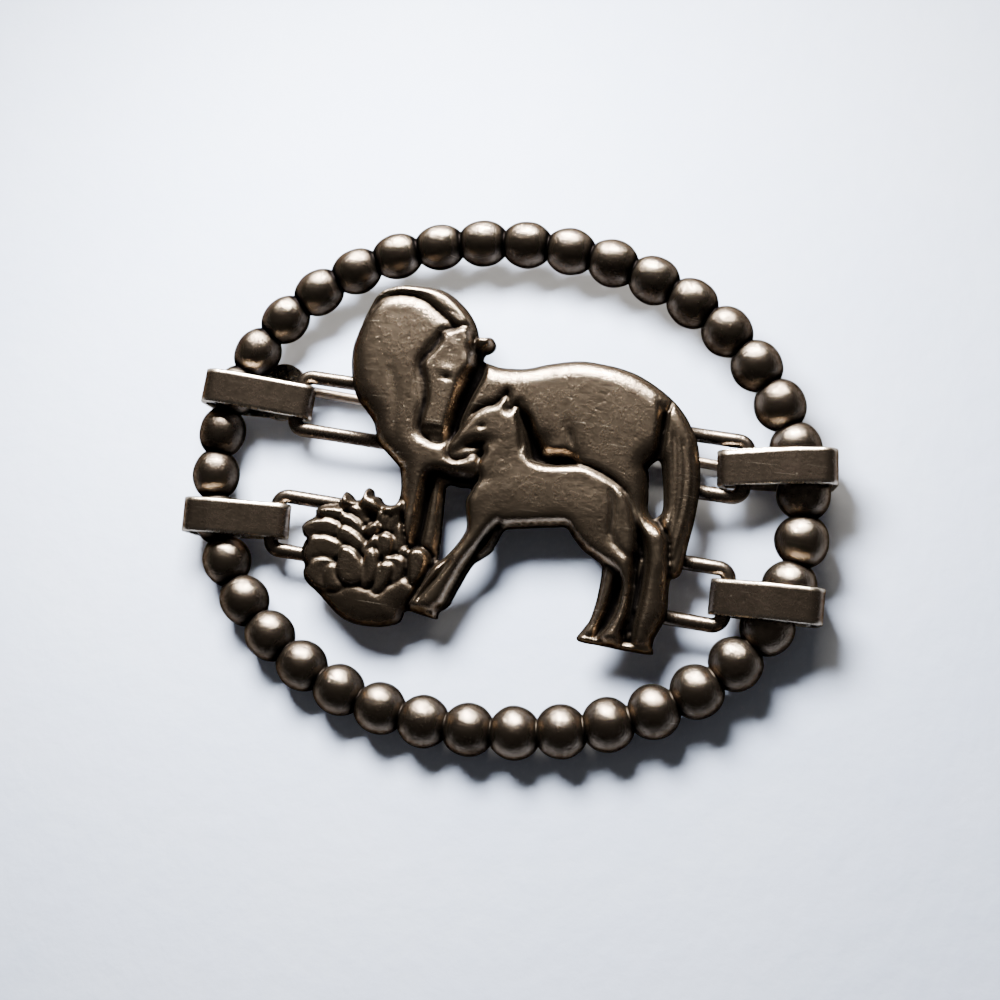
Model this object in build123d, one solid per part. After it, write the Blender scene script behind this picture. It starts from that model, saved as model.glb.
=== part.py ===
from build123d import *
import math
import os
from collections import namedtuple
import numpy as np

# A silver brooch: a cast plaque of a mare and her foal hangs in a beaded oval ring.
# Four wire loops are soldered behind the plaque, two to a side, and four folded bands
# link their ends to the ring. The pin lies behind, hinged on the left.
# X runs across the brooch, Y up the figure and Z out of its face.

# Ring
ring_half_width = 22.6
ring_half_height = 18.7
bead_count = 38
bead_radius = 1.88
bead_swell = 0.065
bead_start = 0.442
neck_radius = 1.12

# Bands
band_width = 2.65
band_thickness = 0.38
band_corner_radius = 0.75
band_edge_round = 0.1
snug_play = 0.2
loose_play = 1.1

# Wire loops
wire_radius = 0.55
loop_height = 5.3
loop_corner_radius = 0.8
upper_loop_middle = 3.8
lower_loop_middle = -5.7
left_band_reach = 4.75
right_band_reach = 3.85
left_wire_end = -6.5
right_wire_end = 12.4

# Plaque
plaque_length = 29.1
plaque_height = 26.3
plaque_middle_x = 0.35
plaque_middle_y = 0.85
face_shrink = 0.016
face_shift_x = 0.23
face_shift_y = -0.23
plate_thickness = 0.6
relief_rise = 1.55
lip_width = 0.12
crease_depth = 0.12
crease_width = 1.0
groove_fade = 3.0
solder_bite = 0.12
facet_size = 0.35

# Pin, hinge and catch
pin_radius = 0.4
pin_tip_radius = 0.1
pin_taper_length = 4.5
pin_overhang = 0.7
knuckle_radius = 0.5
knuckle_width = 0.8
axle_radius = 0.24
ear_length = 1.2
ear_thickness = 0.4
hinge_inset = 4.2
hinge_rise = 1.5
pad_radius = 2.27
pad_thickness = 0.4
pad_inset = 3.2
pad_rise = 0.9
catch_inset = 1.95
catch_width = 1.2
catch_wall = 0.35

# Free space between pieces that meet but are not soldered
running_gap = 0.06

# How the ring strays from a true ellipse: lobes round it, and shares of its radius.
Wave = namedtuple("Wave", "lobes along across")
RING_WAVES = [
    Wave(3, 0.007, -0.007),
    Wave(4, -0.007, -0.004),
]

# Bands: side, height on the ring and shift off the loop's middle as shares of the ring's
# half height, and how far the strap's end lies beyond the wire.
Band = namedtuple("Band", "name side ring_end loop_shift loop_middle play")
BANDS = [
    Band("band_upper_left", -1, 0.200, 0.000, upper_loop_middle, snug_play),
    Band("band_lower_left", -1, -0.330, 0.003, lower_loop_middle, snug_play),
    Band("band_upper_right", 1, 0.238, -0.003, upper_loop_middle, loose_play),
    Band("band_lower_right", 1, -0.292, 0.000, lower_loop_middle, snug_play),
]

# The figure's outline, clockwise from the mare's neck, in hundredths of the plaque's
# length and height from its lower left corner.
OUTLINE = {
    "mane": [(4.5, 79), (5, 83), (6, 88), (7.2, 92.5), (8.3, 95.2), (10.2, 97.4), (13, 98.9), (16, 99.8),
             (20, 100), (24, 99.9), (27.5, 98.9), (30.3, 97.2), (33, 94.9), (35, 92.5), (36.4, 90)],
    "ear": [(37.3, 87.6), (38.6, 87.4), (40.4, 87.7), (41.6, 87), (42.1, 85.5), (41.7, 84.2), (40.7, 83.2),
            (39.8, 82.7), (39.4, 81.5), (40, 80.4)],
    "back": [(42, 79.8), (45, 79.4), (51, 80.1), (57, 82.4), (63, 84.2), (67, 84.7), (72, 84.5), (76, 84),
             (80, 82.9), (84, 81), (88, 78.5), (91, 76), (93.3, 73.5), (95, 71)],
    "tail": [(97.4, 66.5), (99.1, 59.5), (99.9, 53), (99.8, 45), (99.2, 37), (98.8, 31), (98.3, 29),
             (97.2, 27.9), (96.3, 27.2), (96.3, 24), (96.8, 17.5), (95.4, 12.8), (94.7, 10.5)],
    "rear hooves": [(94.6, 8.2), (94.9, 7.3), (94.4, 6.2), (88, 6), (81, 6.1), (76.8, 6.2), (75.7, 7.2),
                    (76.3, 8.5), (77.4, 10.8), (78.3, 13), (79.1, 19), (79.2, 26), (78.8, 28.2)],
    "belly": [(76.5, 29.8), (74, 31.2), (72, 33), (70.2, 35), (68.9, 36.6), (67.5, 37), (64.5, 36.4),
              (57.5, 34.8), (54.5, 34.1), (53, 33.5), (52.2, 32), (51.5, 29.5), (50.5, 26.5)],
    "front legs": [(48, 23.8), (46.8, 22.6), (45.8, 20.5), (44.8, 17.5), (43, 12), (42.4, 10), (41.2, 8.5),
                   (40.2, 7.6), (39.9, 6.5), (39.6, 5.4), (36, 5.8), (32.5, 6.3), (31.1, 5.8)],
    "bud": [(30.9, 4.5), (30.2, 2.6), (28, 1.3), (25.3, 0.4), (22, 0), (19.5, 0), (16.5, 0.7), (14, 2),
            (11.8, 3.7), (7.6, 7.1), (5.3, 8.6), (3.7, 10.3), (3.1, 12), (3.1, 13.8), (2.2, 15.6),
            (1.5, 18), (1.8, 20.4), (2.2, 21.6), (1.2, 22.4), (0.4, 24.5), (1, 26.2), (2.6, 27.6),
            (3.4, 28.6), (3.2, 30), (4.2, 31.5), (6, 32.5), (8.3, 33.2), (9.3, 34.6), (9.8, 36.2),
            (10.6, 36.8), (12, 36), (13, 35), (14.3, 35.2), (14.9, 36.5), (15.3, 38.2), (16.3, 39),
            (17.3, 38.3), (17.8, 37), (19.4, 36.8), (20.4, 35.6), (21.8, 35), (23.6, 35.4)],
    "chest": [(24.4, 37), (24.5, 40), (23.5, 45.2), (22.6, 46.6), (19, 49.7), (17, 51.4), (15.9, 53),
              (14.9, 55.5), (13.9, 58), (11.6, 60.8), (9.3, 63), (7.7, 65.2), (6.6, 68), (5.6, 71), (4.8, 75)],
}

# Openings cut through the plaque: beside the tail, and between the forelegs.
OPENINGS = {
    "tail slot": [(88.2, 59.8), (86.3, 57.2), (86.8, 55), (87.6, 49), (87.8, 46.5), (88.5, 44.5), (89.8, 43.2),
                  (91, 44.4), (91.6, 46.5), (90.9, 52), (89.6, 58), (89, 59.4)],
    "foreleg gap": [(36.1, 43.3), (39.5, 43.5), (42.7, 43.3), (41.9, 39.5), (43.2, 33), (42.9, 30.3),
                    (41, 26), (38.6, 22.3), (37.4, 22.4), (36.9, 29), (36.5, 34), (36.1, 38.5)],
}

# Raised forms from back to front, drawn in hundredths of the face's length and height. Level,
# crown and lean are shares of the relief's rise: a form starts at its level, swells by its
# crown, and its top stands higher than its foot by its lean. The two roundings are
# hundredths of the face's length: at the form's own edge, and at the plaque's edge.
Form = namedtuple("Form", "name level crown lean edge_round rim_round points")
FORMS = [
    Form("far foreleg", 0.0, 0.40, 0.0, 2.2, 3.0,
         [(31.6, 50), (36.5, 49), (38.2, 36), (38.5, 22), (34, 20), (31.2, 24), (31.3, 35)]),
    Form("far hind leg", 0.0, 0.30, 0.0, 1.5, 2.0,
         [(87.2, 36), (89.5, 33), (91, 28), (92, 20), (91, 12), (90, 8), (86.5, 8), (87, 16), (87.4, 24)]),
    Form("tail", 0.0, 0.56, 0.1, 1.6, 3.4,
         [(86, 86), (95, 80), (104, 66), (104, 40), (101, 26), (94.8, 26.5), (93.6, 33), (91.5, 43),
         (90.2, 52),
          (88.6, 60), (88.2, 68), (87.4, 76)]),
    Form("mare's trunk", 0.0, 0.80, 0.0, 3.4, 7.0,
         [(38.2, 84.5), (39.5, 90), (60, 95), (82, 91), (89.5, 82), (89.4, 76), (88.9, 68), (88.5, 61),
         (88.6, 52),
          (90, 44.5), (94, 40), (95.6, 33), (96.6, 26), (98, 20), (97, 3), (88.3, 3), (88.7, 8.8),
          (88.4, 14),
          (88.9, 22), (88.8, 30), (87.6, 36), (84.3, 41), (80, 45), (72, 50), (66, 56), (60, 56.5),
          (56.5, 58),
          (53.5, 64.5), (51, 66), (46, 66), (40, 62), (36, 59), (34.6, 61), (36.4, 69), (39.2, 78)]),
    Form("mare's neck and chest", 0.0, 0.84, 0.0, 2.6, 7.5,
         [(2, 71), (1, 80), (4, 95), (12, 103), (26, 104), (34, 99.5), (39.2, 91), (37.6, 80), (35, 66),
          (34.6, 60), (37, 57), (41, 56), (44.2, 53), (44.8, 49.5), (44, 46.6), (40, 45.9), (36, 45.8),
          (32, 46.4), (30.6, 44.5), (30.4, 38), (30.2, 26.5), (27, 20), (22, 24), (21, 33), (21.5, 44),
          (14, 49), (8, 60)]),
    Form("mare's mane", 0.62, 0.30, 0.0, 1.8, 3.8,
         [(6, 90.5), (8.6, 94.6), (12.5, 96.6), (17, 97), (21, 96), (25, 93.4), (28.8, 90.6), (31.6, 88.2),
          (33.8, 89.6), (35.6, 88), (40, 93), (34, 101), (26, 105), (12, 104), (3, 95)]),
    Form("mare's head", 0.62, 0.36, -0.04, 1.9, 2.2,
         [(33.6, 90.6), (34.9, 88), (36.2, 85), (37, 81), (36.6, 78.5), (34.9, 74.8), (34.4, 70),
         (33.9, 64),
          (33.6, 58.5), (33.4, 56.4), (32, 54.8), (29.4, 55.1), (27.2, 56.6), (26, 59), (26, 62),
          (26.3, 67),
          (25, 72.5), (23.5, 76.5), (23.8, 79), (25.4, 81.5), (26.8, 84.6), (27.2, 88), (30, 89.4)]),
    Form("mare's ear", 0.15, 0.6, 0.1, 1.4, 1.3,
         [(35.9, 85.2), (36.4, 88.5), (40, 90), (44, 88), (43.5, 84), (41, 83.2), (38.3, 83), (37, 83.8)]),
    Form("foal's far leg", 0.0, 0.34, 0.0, 1.2, 2.4,
         [(50, 37), (54, 35), (54, 30), (50, 22), (46, 14), (43.5, 8), (38.6, 8), (40.9, 13.7),
         (43.2, 20.5),
          (46.4, 27.2), (48.4, 31)]),
    Form("foal's far hind leg", 0.0, 0.45, 0.0, 1.4, 1.6,
         [(77, 31), (83, 29), (82.8, 24), (82, 18), (80.6, 12), (79.6, 7), (74, 6), (76.5, 16), (77, 26)]),
    Form("foal", 0.5, 0.42, 0.0, 2.4, 3.4,
         [(47.3, 73), (48.3, 70), (48.5, 68), (50.4, 70), (52.2, 66.4), (54, 62), (55.4, 58), (56.4, 55.4),
          (58.4, 54.4), (62, 54.4), (66, 55.2), (70, 55.7), (74, 54.6), (78, 52.8), (81.2, 50.6),
          (83, 48.4),
          (85.2, 43), (86.6, 36.5), (86.6, 30), (87.2, 22), (87.3, 16), (86.6, 11), (87, 7), (86, 2),
          (80, 2),
          (80.6, 8), (82.6, 12), (84.2, 17), (84.6, 22), (83.6, 26), (80.5, 29), (76, 30), (70, 33),
          (66, 33), (55, 31), (52.4, 34), (50.3, 35.2), (46.6, 28), (43.4, 21), (40.2, 11), (39, 8.4),
          (41, 4), (30.5, 4), (30.9, 8.3), (32.9, 13.4), (35.8, 19.8), (38, 24), (39, 28), (40.6, 33),
          (39.8, 38), (40.2, 42), (42.4, 44.6), (43.4, 47), (42.6, 51), (43.6, 54.6), (41.4, 53.4),
          (38.6, 51.2), (36, 50.8), (34.5, 52.2), (33.9, 55), (35, 58.5), (37, 62), (39, 65.4),
          (41.5, 67.8),
          (44.4, 69.2), (46.2, 71.6)]),
    Form("front plinth", 0.25, 0.25, 0.0, 0.9, 0.9,
         [(30.4, 3.5), (30.4, 7.4), (35.5, 7.7), (40.8, 7.6), (40.8, 3.5)]),
    Form("rear plinth", 0.25, 0.25, 0.0, 0.9, 0.9,
         [(74.5, 4.5), (75, 7.9), (85, 7.9), (95.5, 7.9), (95.5, 4.5)]),
    Form("bud's bowl", 0.0, 0.62, -0.1, 2.0, 9.0,
         [(25.3, 36), (27, 29), (29, 25), (32.8, 25.2), (35.2, 23.2), (34.6, 17), (33, 12), (31.5, 8),
          (32, 3), (24, -3), (12, -2), (2, 6), (-1, 16), (-2, 26), (3, 38), (14, 42), (22, 40)]),
    Form("left knob", 0.3, 0.5, 0.0, 1.6, 1.8, [(8.8, 32), (8.6, 38), (13, 38), (13.2, 32)]),
    Form("middle knob", 0.3, 0.5, 0.0, 2.0, 1.8, [(13.6, 32), (14, 41), (19, 41), (21, 36), (20.4, 32)]),
    Form("right knob", 0.3, 0.5, 0.0, 1.6, 1.8, [(20, 32), (20.4, 37.5), (25.6, 37), (25.4, 32)]),
    Form("back petal 1", 0.42, 0.2, 0.12, 0.9, 1.4, [(10.5, 33), (13, 33.6), (17, 32.8), (18.6, 30),
         (16.4, 28), (12, 30)]),
    Form("back petal 2", 0.44, 0.2, 0.12, 0.9, 1.4, [(18.6, 29), (18.8, 32.4), (20.4, 33.4), (21, 30),
         (20.4, 27.6)]),
    Form("back petal 3", 0.46, 0.2, 0.12, 0.9, 1.4, [(20.4, 28), (21, 32.2), (22.4, 33), (23, 30),
         (22.4, 27)]),
    Form("back petal 4", 0.44, 0.2, 0.12, 0.9, 1.4, [(22.4, 28), (23, 32.6), (25, 33.6), (25.8, 30),
         (24.4, 26.6)]),
    Form("side petal", 0.40, 0.24, 0.1, 1.0, 1.4, [(24, 21), (24.2, 27), (25.4, 31.4), (26.8, 27),
         (27, 22)]),
    Form("stalk petal", 0.42, 0.3, 0.1, 1.2, 1.6, [(26.2, 18), (26.8, 23), (28.6, 24.2), (30, 21),
         (29.4, 16)]),
    Form("right lobe", 0.40, 0.34, 0.1, 1.3, 1.6,
         [(29.4, 18), (29, 22.6), (30.6, 24.4), (33, 24.4), (34.4, 22), (34, 17.6), (32.4, 14),
         (30.4, 14.6)]),
    Form("petal 1", 0.46, 0.3, 0.14, 1.0, 2.0,
         [(3, 29.4), (3.8, 31.5), (8, 32.2), (11.4, 31), (13.4, 29.6), (12, 27.4), (8, 28), (5, 28.4)]),
    Form("petal 2", 0.52, 0.28, 0.14, 1.1, 2.0,
         [(10, 30.6), (12.8, 30.4), (15.2, 28.8), (17, 26.6), (16.6, 24.6), (13, 25.4), (10, 27)]),
    Form("petal 3", 0.48, 0.3, 0.14, 1.1, 2.0,
         [(-0.5, 24.4), (1, 26.8), (3.8, 28.2), (7, 28.5), (10, 27.4), (11, 24.4), (9, 21.6), (4, 21),
         (1, 21.6)]),
    Form("petal 4", 0.55, 0.28, 0.14, 1.0, 2.0,
         [(16.1, 26.8), (17.2, 28.6), (19.2, 29.8), (20.4, 28.4), (19.8, 26), (17.6, 25.4)]),
    Form("petal 5", 0.58, 0.28, 0.14, 1.1, 2.0,
         [(9.8, 25.6), (10.6, 27.1), (13.4, 26.5), (16.2, 24.7), (18, 22.6), (17, 20), (13, 21.2),
         (10, 22.4)]),
    Form("petal 6", 0.56, 0.28, 0.12, 1.1, 2.0,
         [(19.8, 22), (20, 25.4), (21.2, 27), (24, 26.7), (24.6, 24), (24, 20), (21.6, 19)]),
    Form("petal 7", 0.62, 0.26, 0.1, 1.0, 2.0,
         [(16.6, 20), (17.6, 22.6), (18.8, 25.2), (20, 25.8), (20.4, 23), (19.4, 19.6)]),
    Form("petal 8", 0.50, 0.3, 0.12, 1.1, 2.0,
         [(22.6, 18.6), (23, 20.2), (26.4, 21.3), (28.8, 20), (28.6, 15.6), (25.6, 13), (23, 15)]),
    Form("petal 9", 0.50, 0.3, 0.12, 1.2, 2.0,
         [(1.6, 18.4), (2.6, 22.4), (4.6, 23.2), (7.2, 23.4), (10.2, 22.7), (12.6, 21.5), (12.4, 17),
         (9, 15.4),
          (4, 14.4), (2.2, 15.6)]),
    Form("petal 10", 0.46, 0.28, 0.12, 1.2, 2.2,
         [(2.6, 12), (3.6, 15.2), (6, 17.1), (8.2, 17.3), (11.2, 16.4), (12.6, 12.6), (11, 8.8), (7, 8.4),
         (4.4, 10)]),
    Form("petal 11", 0.50, 0.22, 0.1, 1.0, 2.2,
         [(8, 13.4), (8.8, 15.4), (11.4, 16), (13.4, 13.4), (13.6, 9.6), (11, 8.6), (8.6, 10)]),
    Form("petal 12", 0.60, 0.26, 0.1, 1.2, 2.0,
         [(21.4, 13.4), (21.6, 17.8), (23.4, 18.8), (25.8, 18.4), (25.6, 14.4), (23.6, 10.4),
         (21.6, 10.4)]),
    Form("petal 13", 0.66, 0.26, 0.1, 1.3, 2.0,
         [(17.9, 14), (17.8, 19.6), (19.4, 22), (21.4, 20.6), (22, 16), (21, 12), (18.6, 11)]),
    Form("petal 14", 0.68, 0.28, 0.1, 1.5, 2.0,
         [(11.2, 15), (11.4, 20.4), (13, 21.4), (16.2, 19.9), (18, 17), (18.4, 13), (16.8, 11.4),
         (13.4, 11.4)]),
]

# Grooves, which fade at both ends: depth as a share of the rise, half width in hundredths
# of the face's length.
Groove = namedtuple("Groove", "name depth half_width points")
GROOVES = [
    Groove("left of the head", 0.14, 0.9, [(27.4, 88), (26.2, 85.4), (23.6, 80.6), (22.6, 77), (23.6, 72),
         (25.2, 66.4),
                                           (25.2, 61.4), (26.4, 56.6)]),
    Groove("between head and shoulder", 0.42, 1.5, [(36.4, 84), (38, 80), (37.6, 76), (36.4, 71),
         (35.2, 64), (34.6, 58.5)]),
    Groove("mane lock 1", 0.07, 0.35, [(8.4, 94.8), (10.4, 97.2), (12.2, 98.6)]),
    Groove("mane lock 2", 0.06, 0.35, [(15.6, 97.4), (19.8, 98), (24, 97)]),
    Groove("mane lock 3", 0.06, 0.35, [(26.4, 94.6), (30, 93.6), (32.6, 91.4)]),
    Groove("croup", 0.30, 0.9, [(86.4, 77.6), (87.6, 73), (88.2, 68), (88.3, 63), (88, 59)]),
    Groove("inner tail lock", 0.13, 0.5, [(91, 69), (92.6, 61), (93.8, 52), (94.4, 45), (94, 39.5)]),
    Groove("middle tail lock", 0.12, 0.5, [(93.4, 68), (95.4, 60), (96.2, 50), (95.4, 40), (94.6, 31)]),
    Groove("outer tail lock", 0.12, 0.5, [(96, 65), (97.9, 56), (98, 46), (96.8, 36), (95.9, 29.5)]),
    Groove("between foal's forelegs", 0.32, 0.6, [(40.6, 23), (38.4, 18.6), (35.6, 13.4), (33.2, 8.4)]),
    Groove("foal's haunch", 0.16, 0.8, [(77.4, 50.6), (78.8, 46.5), (79.4, 42), (79.6, 38), (81, 35.4)]),
    Groove("foal's thigh", 0.12, 0.7, [(79.6, 36.6), (82, 34), (84.4, 32.2), (87, 31.4)]),
    Groove("crease before the flank", 0.14, 1.0, [(64.4, 66), (65.6, 62.5), (66.8, 58.4)]),
    Groove("foal's mane", 0.16, 0.7, [(50.6, 68.4), (51.9, 64.4), (53, 60.4), (53.8, 56)]),
    Groove("behind foal's mane", 0.20, 1.0, [(51.4, 69.8), (54, 64.4), (56.6, 59.8), (59, 57.4)]),
    Groove("mare's jaw", 0.10, 0.5, [(25.6, 58.8), (28, 59), (30.6, 59.2), (33.6, 59.2)]),
    Groove("mare's shoulder", 0.05, 1.4, [(15, 76), (17.4, 68), (18.4, 60), (21.4, 52)]),
]

# Dents and swellings: radii in hundredths, height as a share of the rise, negative goes in.
Dent = namedtuple("Dent", "name x y radius_x radius_y turn height")
DENTS = [
    Dent("mare's barrel", 62, 70, 20, 15, 0, 0.12),
    Dent("mare's croup", 79, 68, 9, 14, 0, 0.05),
    Dent("mare's neck", 14, 79, 10, 19, 0, 0.12),
    Dent("mare's shoulder", 26, 52, 6, 9, 0, 0.05),
    Dent("foal's barrel", 62, 46, 15, 8, 0, 0.07),
    Dent("foal's neck", 49, 60, 5, 9, 0, 0.05),
    Dent("mare's eye", 30.8, 74.2, 1.0, 0.5, -5, -0.16),
    Dent("mare's brow", 30.4, 76.6, 2.4, 1.0, -5, 0.05),
    Dent("foal's eye", 42.3, 61.8, 0.9, 0.5, 18, -0.16),
    Dent("foal's jaw", 41.4, 56.3, 3.6, 1.6, 20, -0.40),
    Dent("foal's muzzle", 36.6, 53.2, 2.6, 1.6, 15, -0.16),
    Dent("mare's muzzle", 30, 56.9, 3.6, 1.5, -6, -0.26),
    Dent("flank", 57.6, 59, 3.0, 2.6, 0, -0.30),
    Dent("udder", 61.6, 58.6, 2.4, 1.6, 0, 0.06),
    Dent("under the belly", 66, 57.6, 3.0, 1.6, 0, -0.14),
    Dent("foal's breast", 44.6, 41, 3.0, 5.0, 0, 0.05),
    Dent("foal's shoulder", 52, 44, 4.4, 6.0, 0, 0.05),
    Dent("foal's thigh", 74, 42, 5.0, 6.0, 0, 0.06),
    Dent("mare's chest bar", 38, 47, 6.0, 1.6, 0, -0.26),
    Dent("hollow among the petals", 17, 31.4, 1.6, 1.4, 0, -0.16),
]

# How finely curves are drawn and the face's facets are evened out
curve_steps = 5
spare_cells = 2
evening_rounds = 12
settling_rounds = 6
sliver_share = 0.3
full_depth_height = 0.3


def on_plaque(points):
    """Points in hundredths of the plaque, as millimetres from the ring's middle."""
    corner = (plaque_middle_x - plaque_length / 2, plaque_middle_y - plaque_height / 2)
    return np.array(points, float) * (plaque_length / 100, plaque_height / 100) + corner


def on_face(points):
    """Points in hundredths of the face, which is a little smaller than the outline behind it."""
    middle = np.array([plaque_middle_x, plaque_middle_y])
    return middle + (face_shift_x, face_shift_y) + (on_plaque(points) - middle) * (1 - face_shrink)


def of_length(hundredths):
    """A distance given in hundredths of the face's length, in millimetres."""
    return hundredths * plaque_length * (1 - face_shrink) / 100


def smooth_curve(points, closed=True):
    """A smooth curve through a few points, as short straight steps."""
    knots = np.asarray(points, float)
    ends = (knots[-1:], knots[:2]) if closed else (knots[:1], knots[-1:])
    knots = np.vstack([ends[0], knots, ends[1]])
    steps = np.linspace(0, 1, curve_steps, endpoint=False)[:, None]
    curve = []
    for before, start, end, after in zip(knots[:-3], knots[1:-2], knots[2:-1], knots[3:]):
        curve.append(0.5 * (2 * start + (end - before) * steps
                            + (2 * before - 5 * start + 4 * end - after) * steps ** 2
                            + (3 * start - before - 3 * end + after) * steps ** 3))
    if not closed:
        curve.append(knots[-1:])
    return np.vstack(curve)


def distance_to(places, curve, closed=True):
    """Distance from each place to a curve, positive inside a closed one, and the nearest point."""
    starts = curve if closed else curve[:-1]
    ends = np.roll(curve, -1, axis=0) if closed else curve[1:]
    nearest_square = np.full(len(places), np.inf)
    nearest = np.zeros_like(places)
    inside = np.zeros(len(places), bool)
    for start, end in zip(starts, ends):
        run = end - start
        share = np.clip(((places - start) @ run) / (run @ run), 0, 1)
        foot = start + share[:, None] * run
        square = ((places - foot) ** 2).sum(axis=1)
        closer = square < nearest_square
        nearest_square[closer] = square[closer]
        nearest[closer] = foot[closer]
        if closed and start[1] != end[1]:
            level = (start[1] > places[:, 1]) != (end[1] > places[:, 1])
            crossing = start[0] + (places[:, 1] - start[1]) / run[1] * run[0]
            inside ^= level & (places[:, 0] < crossing)
    distance = np.sqrt(nearest_square)
    return (np.where(inside, distance, -distance) if closed else distance), nearest


def figure_curves():
    """The plaque's outline and its openings as closed curves."""
    outline = [point for stretch in OUTLINE.values() for point in stretch]
    return [smooth_curve(on_plaque(outline))] + [smooth_curve(on_plaque(hole)) for hole in OPENINGS.values()]


def distance_in_figure(places, curves):
    """How far each place lies inside the metal, and the nearest point of its edge."""
    distance, nearest = distance_to(places, curves[0])
    for hole in curves[1:]:
        hole_distance, hole_nearest = distance_to(places, hole)
        closer = -hole_distance < distance
        distance = np.where(closer, -hole_distance, distance)
        nearest = np.where(closer[:, None], hole_nearest, nearest)
    return distance, nearest


def quarter_round(share):
    """Height of a quarter circle's edge, from 0 at its foot to 1 at its top."""
    share = np.clip(share, 0, 1)
    return np.sqrt(1 - (1 - share) ** 2)


def soft_round(share):
    """Height of a parabola's edge, which starts less steeply."""
    return 1 - (1 - np.clip(share, 0, 1)) ** 2


def bell(share):
    """Height of a rounded hill, 1 at its middle."""
    return np.exp(-share ** 2)


def laid_over(height, places, rim, form):
    """The relief with one more form laid over it, and a crease round what it hides."""
    points = on_face(form.points)
    distance, _ = distance_to(places, smooth_curve(points))
    inside = distance > 0
    if form.level > 0:
        crease = crease_depth * bell(distance / of_length(crease_width))
        height = np.where(~inside & (height > 0), height - crease, height)
    own_edge = soft_round(distance / of_length(form.edge_round))
    at_rim = quarter_round(rim / of_length(form.rim_round))
    edge = 1 - np.minimum(1, np.hypot(1 - own_edge, 1 - at_rim))
    low, high = points[:, 1].min(), points[:, 1].max()
    lean = form.lean * ((places[:, 1] - low) / (high - low) - 0.5)
    level = (form.level + lean) * quarter_round(rim / of_length(form.rim_round / 2))
    return np.where(inside, level + form.crown * edge, height)


def relief_height(places, rim):
    """Height of the plaque's face above its back at each place."""
    rim = np.clip(rim - lip_width, 0, None)
    height = np.zeros(len(places))
    for form in FORMS:
        height = laid_over(height, places, rim, form)
    shallow = np.clip(height / full_depth_height, 0, 1)
    for groove in GROOVES:
        line = smooth_curve(on_face(groove.points), closed=False)
        distance, _ = distance_to(places, line, closed=False)
        ends = np.minimum(*[np.linalg.norm(places - end, axis=1) for end in (line[0], line[-1])])
        depth = groove.depth * soft_round(ends / of_length(groove_fade))
        height = height - depth * shallow * bell(distance / of_length(groove.half_width))
    for dent in DENTS:
        offset = places - on_face([(dent.x, dent.y)])
        turn = math.radians(dent.turn)
        along = offset @ (math.cos(turn), math.sin(turn)) / of_length(dent.radius_x)
        across = offset @ (-math.sin(turn), math.cos(turn)) / of_length(dent.radius_y)
        height = height + dent.height * shallow * bell(np.hypot(along, across))
    return plate_thickness + relief_rise * np.clip(height, 0, None)


def cells_inside(curves):
    """A grid over the plaque: its corners, and which of its cells lie in the metal."""
    columns = math.ceil(plaque_length / facet_size) + 2 * spare_cells
    rows = math.ceil(plaque_height / facet_size) + 2 * spare_cells
    left = plaque_middle_x - columns * facet_size / 2
    bottom = plaque_middle_y - rows * facet_size / 2
    across, up = np.meshgrid(np.arange(columns + 1), np.arange(rows + 1), indexing="ij")
    corners = np.stack([left + across * facet_size, bottom + up * facet_size], axis=-1)
    middles = (corners[:-1, :-1] + facet_size / 2).reshape(-1, 2)
    distance, _ = distance_in_figure(middles, curves)
    return corners, without_pinches((distance > 0).reshape(columns, rows))


def without_pinches(kept):
    """The same cells, with one more wherever two touch only at a corner."""
    kept = kept.copy()
    while True:
        here, right, above, beyond = kept[:-1, :-1], kept[1:, :-1], kept[:-1, 1:], kept[1:, 1:]
        rising = here & beyond & ~right & ~above
        falling = right & above & ~here & ~beyond
        if not (rising.any() or falling.any()):
            return kept
        kept[1:, :-1] |= rising
        kept[:-1, :-1] |= falling


def edge_loops(kept):
    """Closed rings of grid corners round the kept cells, each with the metal on its left."""
    following = {}
    columns, rows = kept.shape
    for column, row in zip(*np.nonzero(kept)):
        sides = [((column, row), (column + 1, row), (column, row - 1)),
                 ((column + 1, row), (column + 1, row + 1), (column + 1, row)),
                 ((column + 1, row + 1), (column, row + 1), (column, row + 1)),
                 ((column, row + 1), (column, row), (column - 1, row))]
        for start, end, neighbour in sides:
            if not kept[neighbour]:
                following[start] = end
    loops = []
    while following:
        start, corner = following.popitem()
        loop = [start]
        while corner != start:
            loop.append(corner)
            corner = following.pop(corner)
        loops.append(loop)
    return loops


def evened(points, curve):
    """A ring of points on a curve, with more even steps along it."""
    runs = np.linalg.norm(np.roll(curve, -1, axis=0) - curve, axis=1)
    marks = np.concatenate([[0], np.cumsum(runs)])
    total = marks[-1]
    rounds = np.vstack([curve, curve[:1]])
    share = [marks[:-1][np.argmin(((curve - point) ** 2).sum(axis=1))] for point in points]
    share = np.unwrap(np.array(share) * 2 * math.pi / total) * total / (2 * math.pi)
    forward = share[-1] > share[0]
    lap = total if forward else -total
    for _ in range(evening_rounds):
        before = np.concatenate([[share[-1] - lap], share[:-1]])
        after = np.concatenate([share[1:], [share[0] + lap]])
        share = (share + (before + after) / 2) / 2
    place = np.mod(share, total)
    return np.stack([np.interp(place, marks, rounds[:, axis]) for axis in (0, 1)], axis=1)


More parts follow.
